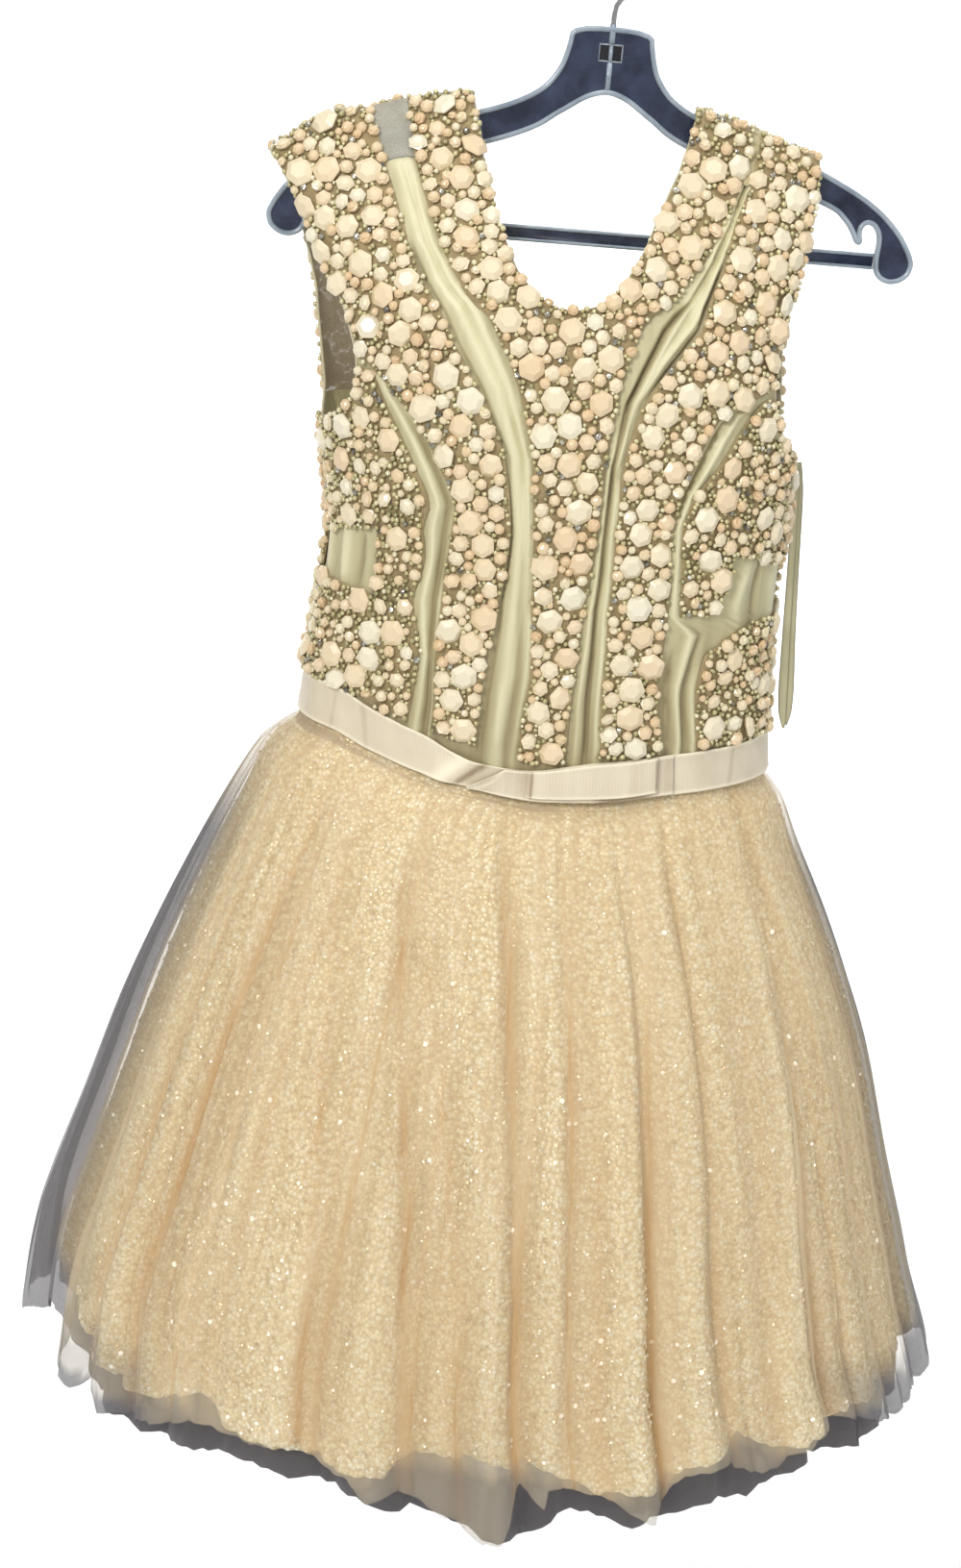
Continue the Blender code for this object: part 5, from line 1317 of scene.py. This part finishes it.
hanger_ribs = rods("hanger_ribs", [
    ([(0.0, -61.5), (0.0, -73.0)], 2.0, 2.5), ([(0.0, -73.0), (0.0, -84.8)], 1.3, 1.6), ([(0.0, -84.8), (0.0, -101.5)], 1.8, 2.3),
    ([(-7.5, -73.6), (0.0, -73.6), (7.5, -73.6)], 0.35, 1.4), ([(-7.5, -84.2), (0.0, -84.2), (7.5, -84.2)], 0.3, 1.4),
    ([(-7.4, -73.3), (-7.4, -84.5)], 0.3, 1.4), ([(7.4, -73.3), (7.4, -84.5)], 0.3, 1.4),
], RIM)
BAR_Z, BAR_H, BAR_X = -194.3, 10.5, 184.5
bar_web = rods("hanger_bar_web", [([(-BAR_X, BAR_Z), (0.0, BAR_Z), (BAR_X, BAR_Z)], 4.2, 1.2)], WEB)
bar_rims = rods("hanger_bar_rims", [([(-BAR_X, BAR_Z + d), (0.0, BAR_Z + d), (BAR_X, BAR_Z + d)], 1.15, 2.9) for d in (4.05, -4.05)], RIM)

# ------------------------------------------------------------------ what each piece stands for
SLOTS = {}


def stands(piece, slot, *nodes):
    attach(piece, "root")
    if nodes:
        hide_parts(*nodes)


stands(bodice_front, "satin_organza", "bodice_front")
stands(backs[0], "satin_organza", "bodice_back_left")
stands(backs[1], "satin_organza", "bodice_back_right")
stands(nets[0], "net", "shoulder_net_left")
stands(nets[1], "net", "shoulder_net_right")
for piece in (arm_binding, back_binding):
    stands(piece, "satin_organza")
for name, piece in grounds.items():
    stands(piece, "beadwork", name)
for side in bead_pieces.values():
    for piece in side:
        stands(piece, "beadwork")
for (layer, part), piece in skirts.items():
    stands(piece, {"overlay": "overlay_tulle", "sequin": "sequin_tulle", "under": "under_tulle"}[layer], "skirt_" + layer + "_" + part)
for piece in list(sequin_pieces.values()) + list(glint_pieces.values()):
    stands(piece, "sequin_tulle")
stands(waist_front, "ribbon", "waistband_front")
stands(waist_left, "ribbon", "waistband_back_left")
stands(waist_right, "ribbon", "waistband_back_right")
stands(wrap, "ribbon")
stands(bow, "ribbon", "bow_tab")
stands(strand_front, "loop_ribbon", "ribbon_loop")
stands(strand_rear, "loop_ribbon")
stands(hanger_rim, "hanger_plastic", "hanger_arms")
stands(hanger_web, "hanger_plastic")
stands(hanger_pane, "hanger_plastic")
stands(hanger_ribs, "hanger_plastic")
stands(bar_web, "hanger_plastic", "hanger_bar")
stands(bar_rims, "hanger_plastic")


def carry_over(name, mat):
    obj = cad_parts[name]
    for k in range(max(1, len(obj.data.materials))):
        if k < len(obj.data.materials):
            obj.data.materials[k] = mat
        else:
            obj.data.materials.append(mat)


carry_over("hanger_hook", STEEL)
carry_over("back_zip_tape", TAPE)

# ------------------------------------------------------------------ sheets: the sizes they were cut to
# hem width, length and area of each gored skirt panel (m, m, m2)
SKIRT_CUT = {"overlay": (1.10, 0.50, 0.338), "sequin": (1.00, 0.47, 0.304), "under": (1.00, 0.50, 0.309)}
for (layer, part), piece in skirts.items():
    wide, long, area = SKIRT_CUT[layer]

# ------------------------------------------------------------------ stage, light and camera
def flat_material(name, colour):
    mat, tree, shader = new_material(name)
    tree.links.new(ramp(tree, noise(tree, 1.2, 2.0), ((0.0, colour), (1.0, tuple(k * 0.985 for k in colour)))), shader.inputs["Base Color"])
    set_shader(shader, Roughness=0.9, Specular_IOR_Level=0.1)
    return mat


FLOOR_Z, WALL_Y, BEND = -1.75, 4.4, 1.2
profile = [(-4.5, FLOOR_Z)] + [(WALL_Y - BEND + BEND * sin(a), FLOOR_Z + BEND - BEND * cos(a)) for a in np.linspace(0, pi / 2, 14)] + [(WALL_Y, 3.2)]
stage_points = [(sx * 5.5, y, z) for sx in (-1, 1) for y, z in profile]
m = len(profile)
stage_faces = np.array([(k, m + k, m + k + 1, k + 1) for k in range(m - 1)])
floor = build("floor", stage_points, [stage_faces], [flat_material("pale_floor", (0.90, 0.90, 0.90))], True)


def area_light(name, at, look, size, power, colour=(1.0, 1.0, 1.0)):
    data = bpy.data.lights.new(name, "AREA")
    data.shape = "DISK"
    data.size = size
    data.energy = power
    data.color = colour
    obj = bpy.data.objects.new(name, data)
    z = np.array(at, float) - np.array(look, float)
    z /= np.linalg.norm(z)
    x = np.cross((0, 0, 1.0), z)
    x /= np.linalg.norm(x)
    y = np.cross(z, x)
    obj.matrix_world = Matrix(((x[0], y[0], z[0], at[0]), (x[1], y[1], z[1], at[1]), (x[2], y[2], z[2], at[2]), (0, 0, 0, 1)))
    bpy.context.scene.collection.objects.link(obj)


area_light("key", (-1.3, -2.3, 1.0), (0, 0, -0.5), 0.8, 45.0, (1.0, 0.985, 0.96))
area_light("fill", (2.2, -2.0, 0.2), (0, 0, -0.55), 2.0, 15.0, (0.97, 0.985, 1.0))
area_light("low_front", (-0.5, -2.4, -1.3), (0, 0, -0.95), 1.4, 6.0, (1.0, 0.99, 0.96))
area_light("overhead", (0.1, -0.6, 1.9), (0, 0.1, -0.6), 1.4, 18.0)
area_light("rear", (0.9, 1.5, 1.3), (0, 0, -0.6), 1.4, 12.0)
area_light("backdrop_left", (-2.4, 2.2, 0.6), (-0.2, 4.4, -0.8), 1.2, 75.0)
area_light("backdrop_right", (2.4, 2.2, 0.6), (0.2, 4.4, -0.8), 1.2, 75.0)
world = bpy.data.worlds.new("room")
world.use_nodes = True
world.node_tree.nodes["Background"].inputs[0].default_value = (1.0, 1.0, 1.0, 1.0)
world.node_tree.nodes["Background"].inputs[1].default_value = 0.40
bpy.context.scene.world = world

AZ, PITCH, ROLL, FOCAL_PX = radians(5.0), radians(16.5), radians(5.0), 2515.0
EYE = (-0.1815103, -1.59391152, -0.093)
ahead = np.array([sin(AZ) * cos(PITCH), cos(AZ) * cos(PITCH), -sin(PITCH)])
level = np.array([cos(AZ), -sin(AZ), 0.0])
above = np.array([sin(AZ) * sin(PITCH), cos(AZ) * sin(PITCH), cos(PITCH)])
image_right = cos(ROLL) * level + sin(ROLL) * above
image_up = -sin(ROLL) * level + cos(ROLL) * above
camera_data = bpy.data.cameras.new("camera")
camera_data.sensor_fit = "VERTICAL"
camera_data.sensor_height = 36.0
camera_data.lens = 36.0 * FOCAL_PX / 1631.0
camera_data.clip_start = 0.01
camera_data.clip_end = 50.0
camera = bpy.data.objects.new("camera", camera_data)
camera.matrix_world = Matrix([[image_right[i], image_up[i], -ahead[i], EYE[i]] for i in range(3)] + [[0, 0, 0, 1]])
bpy.context.scene.collection.objects.link(camera)
bpy.context.scene.camera = camera
bpy.context.scene.view_settings.view_transform = "Standard"
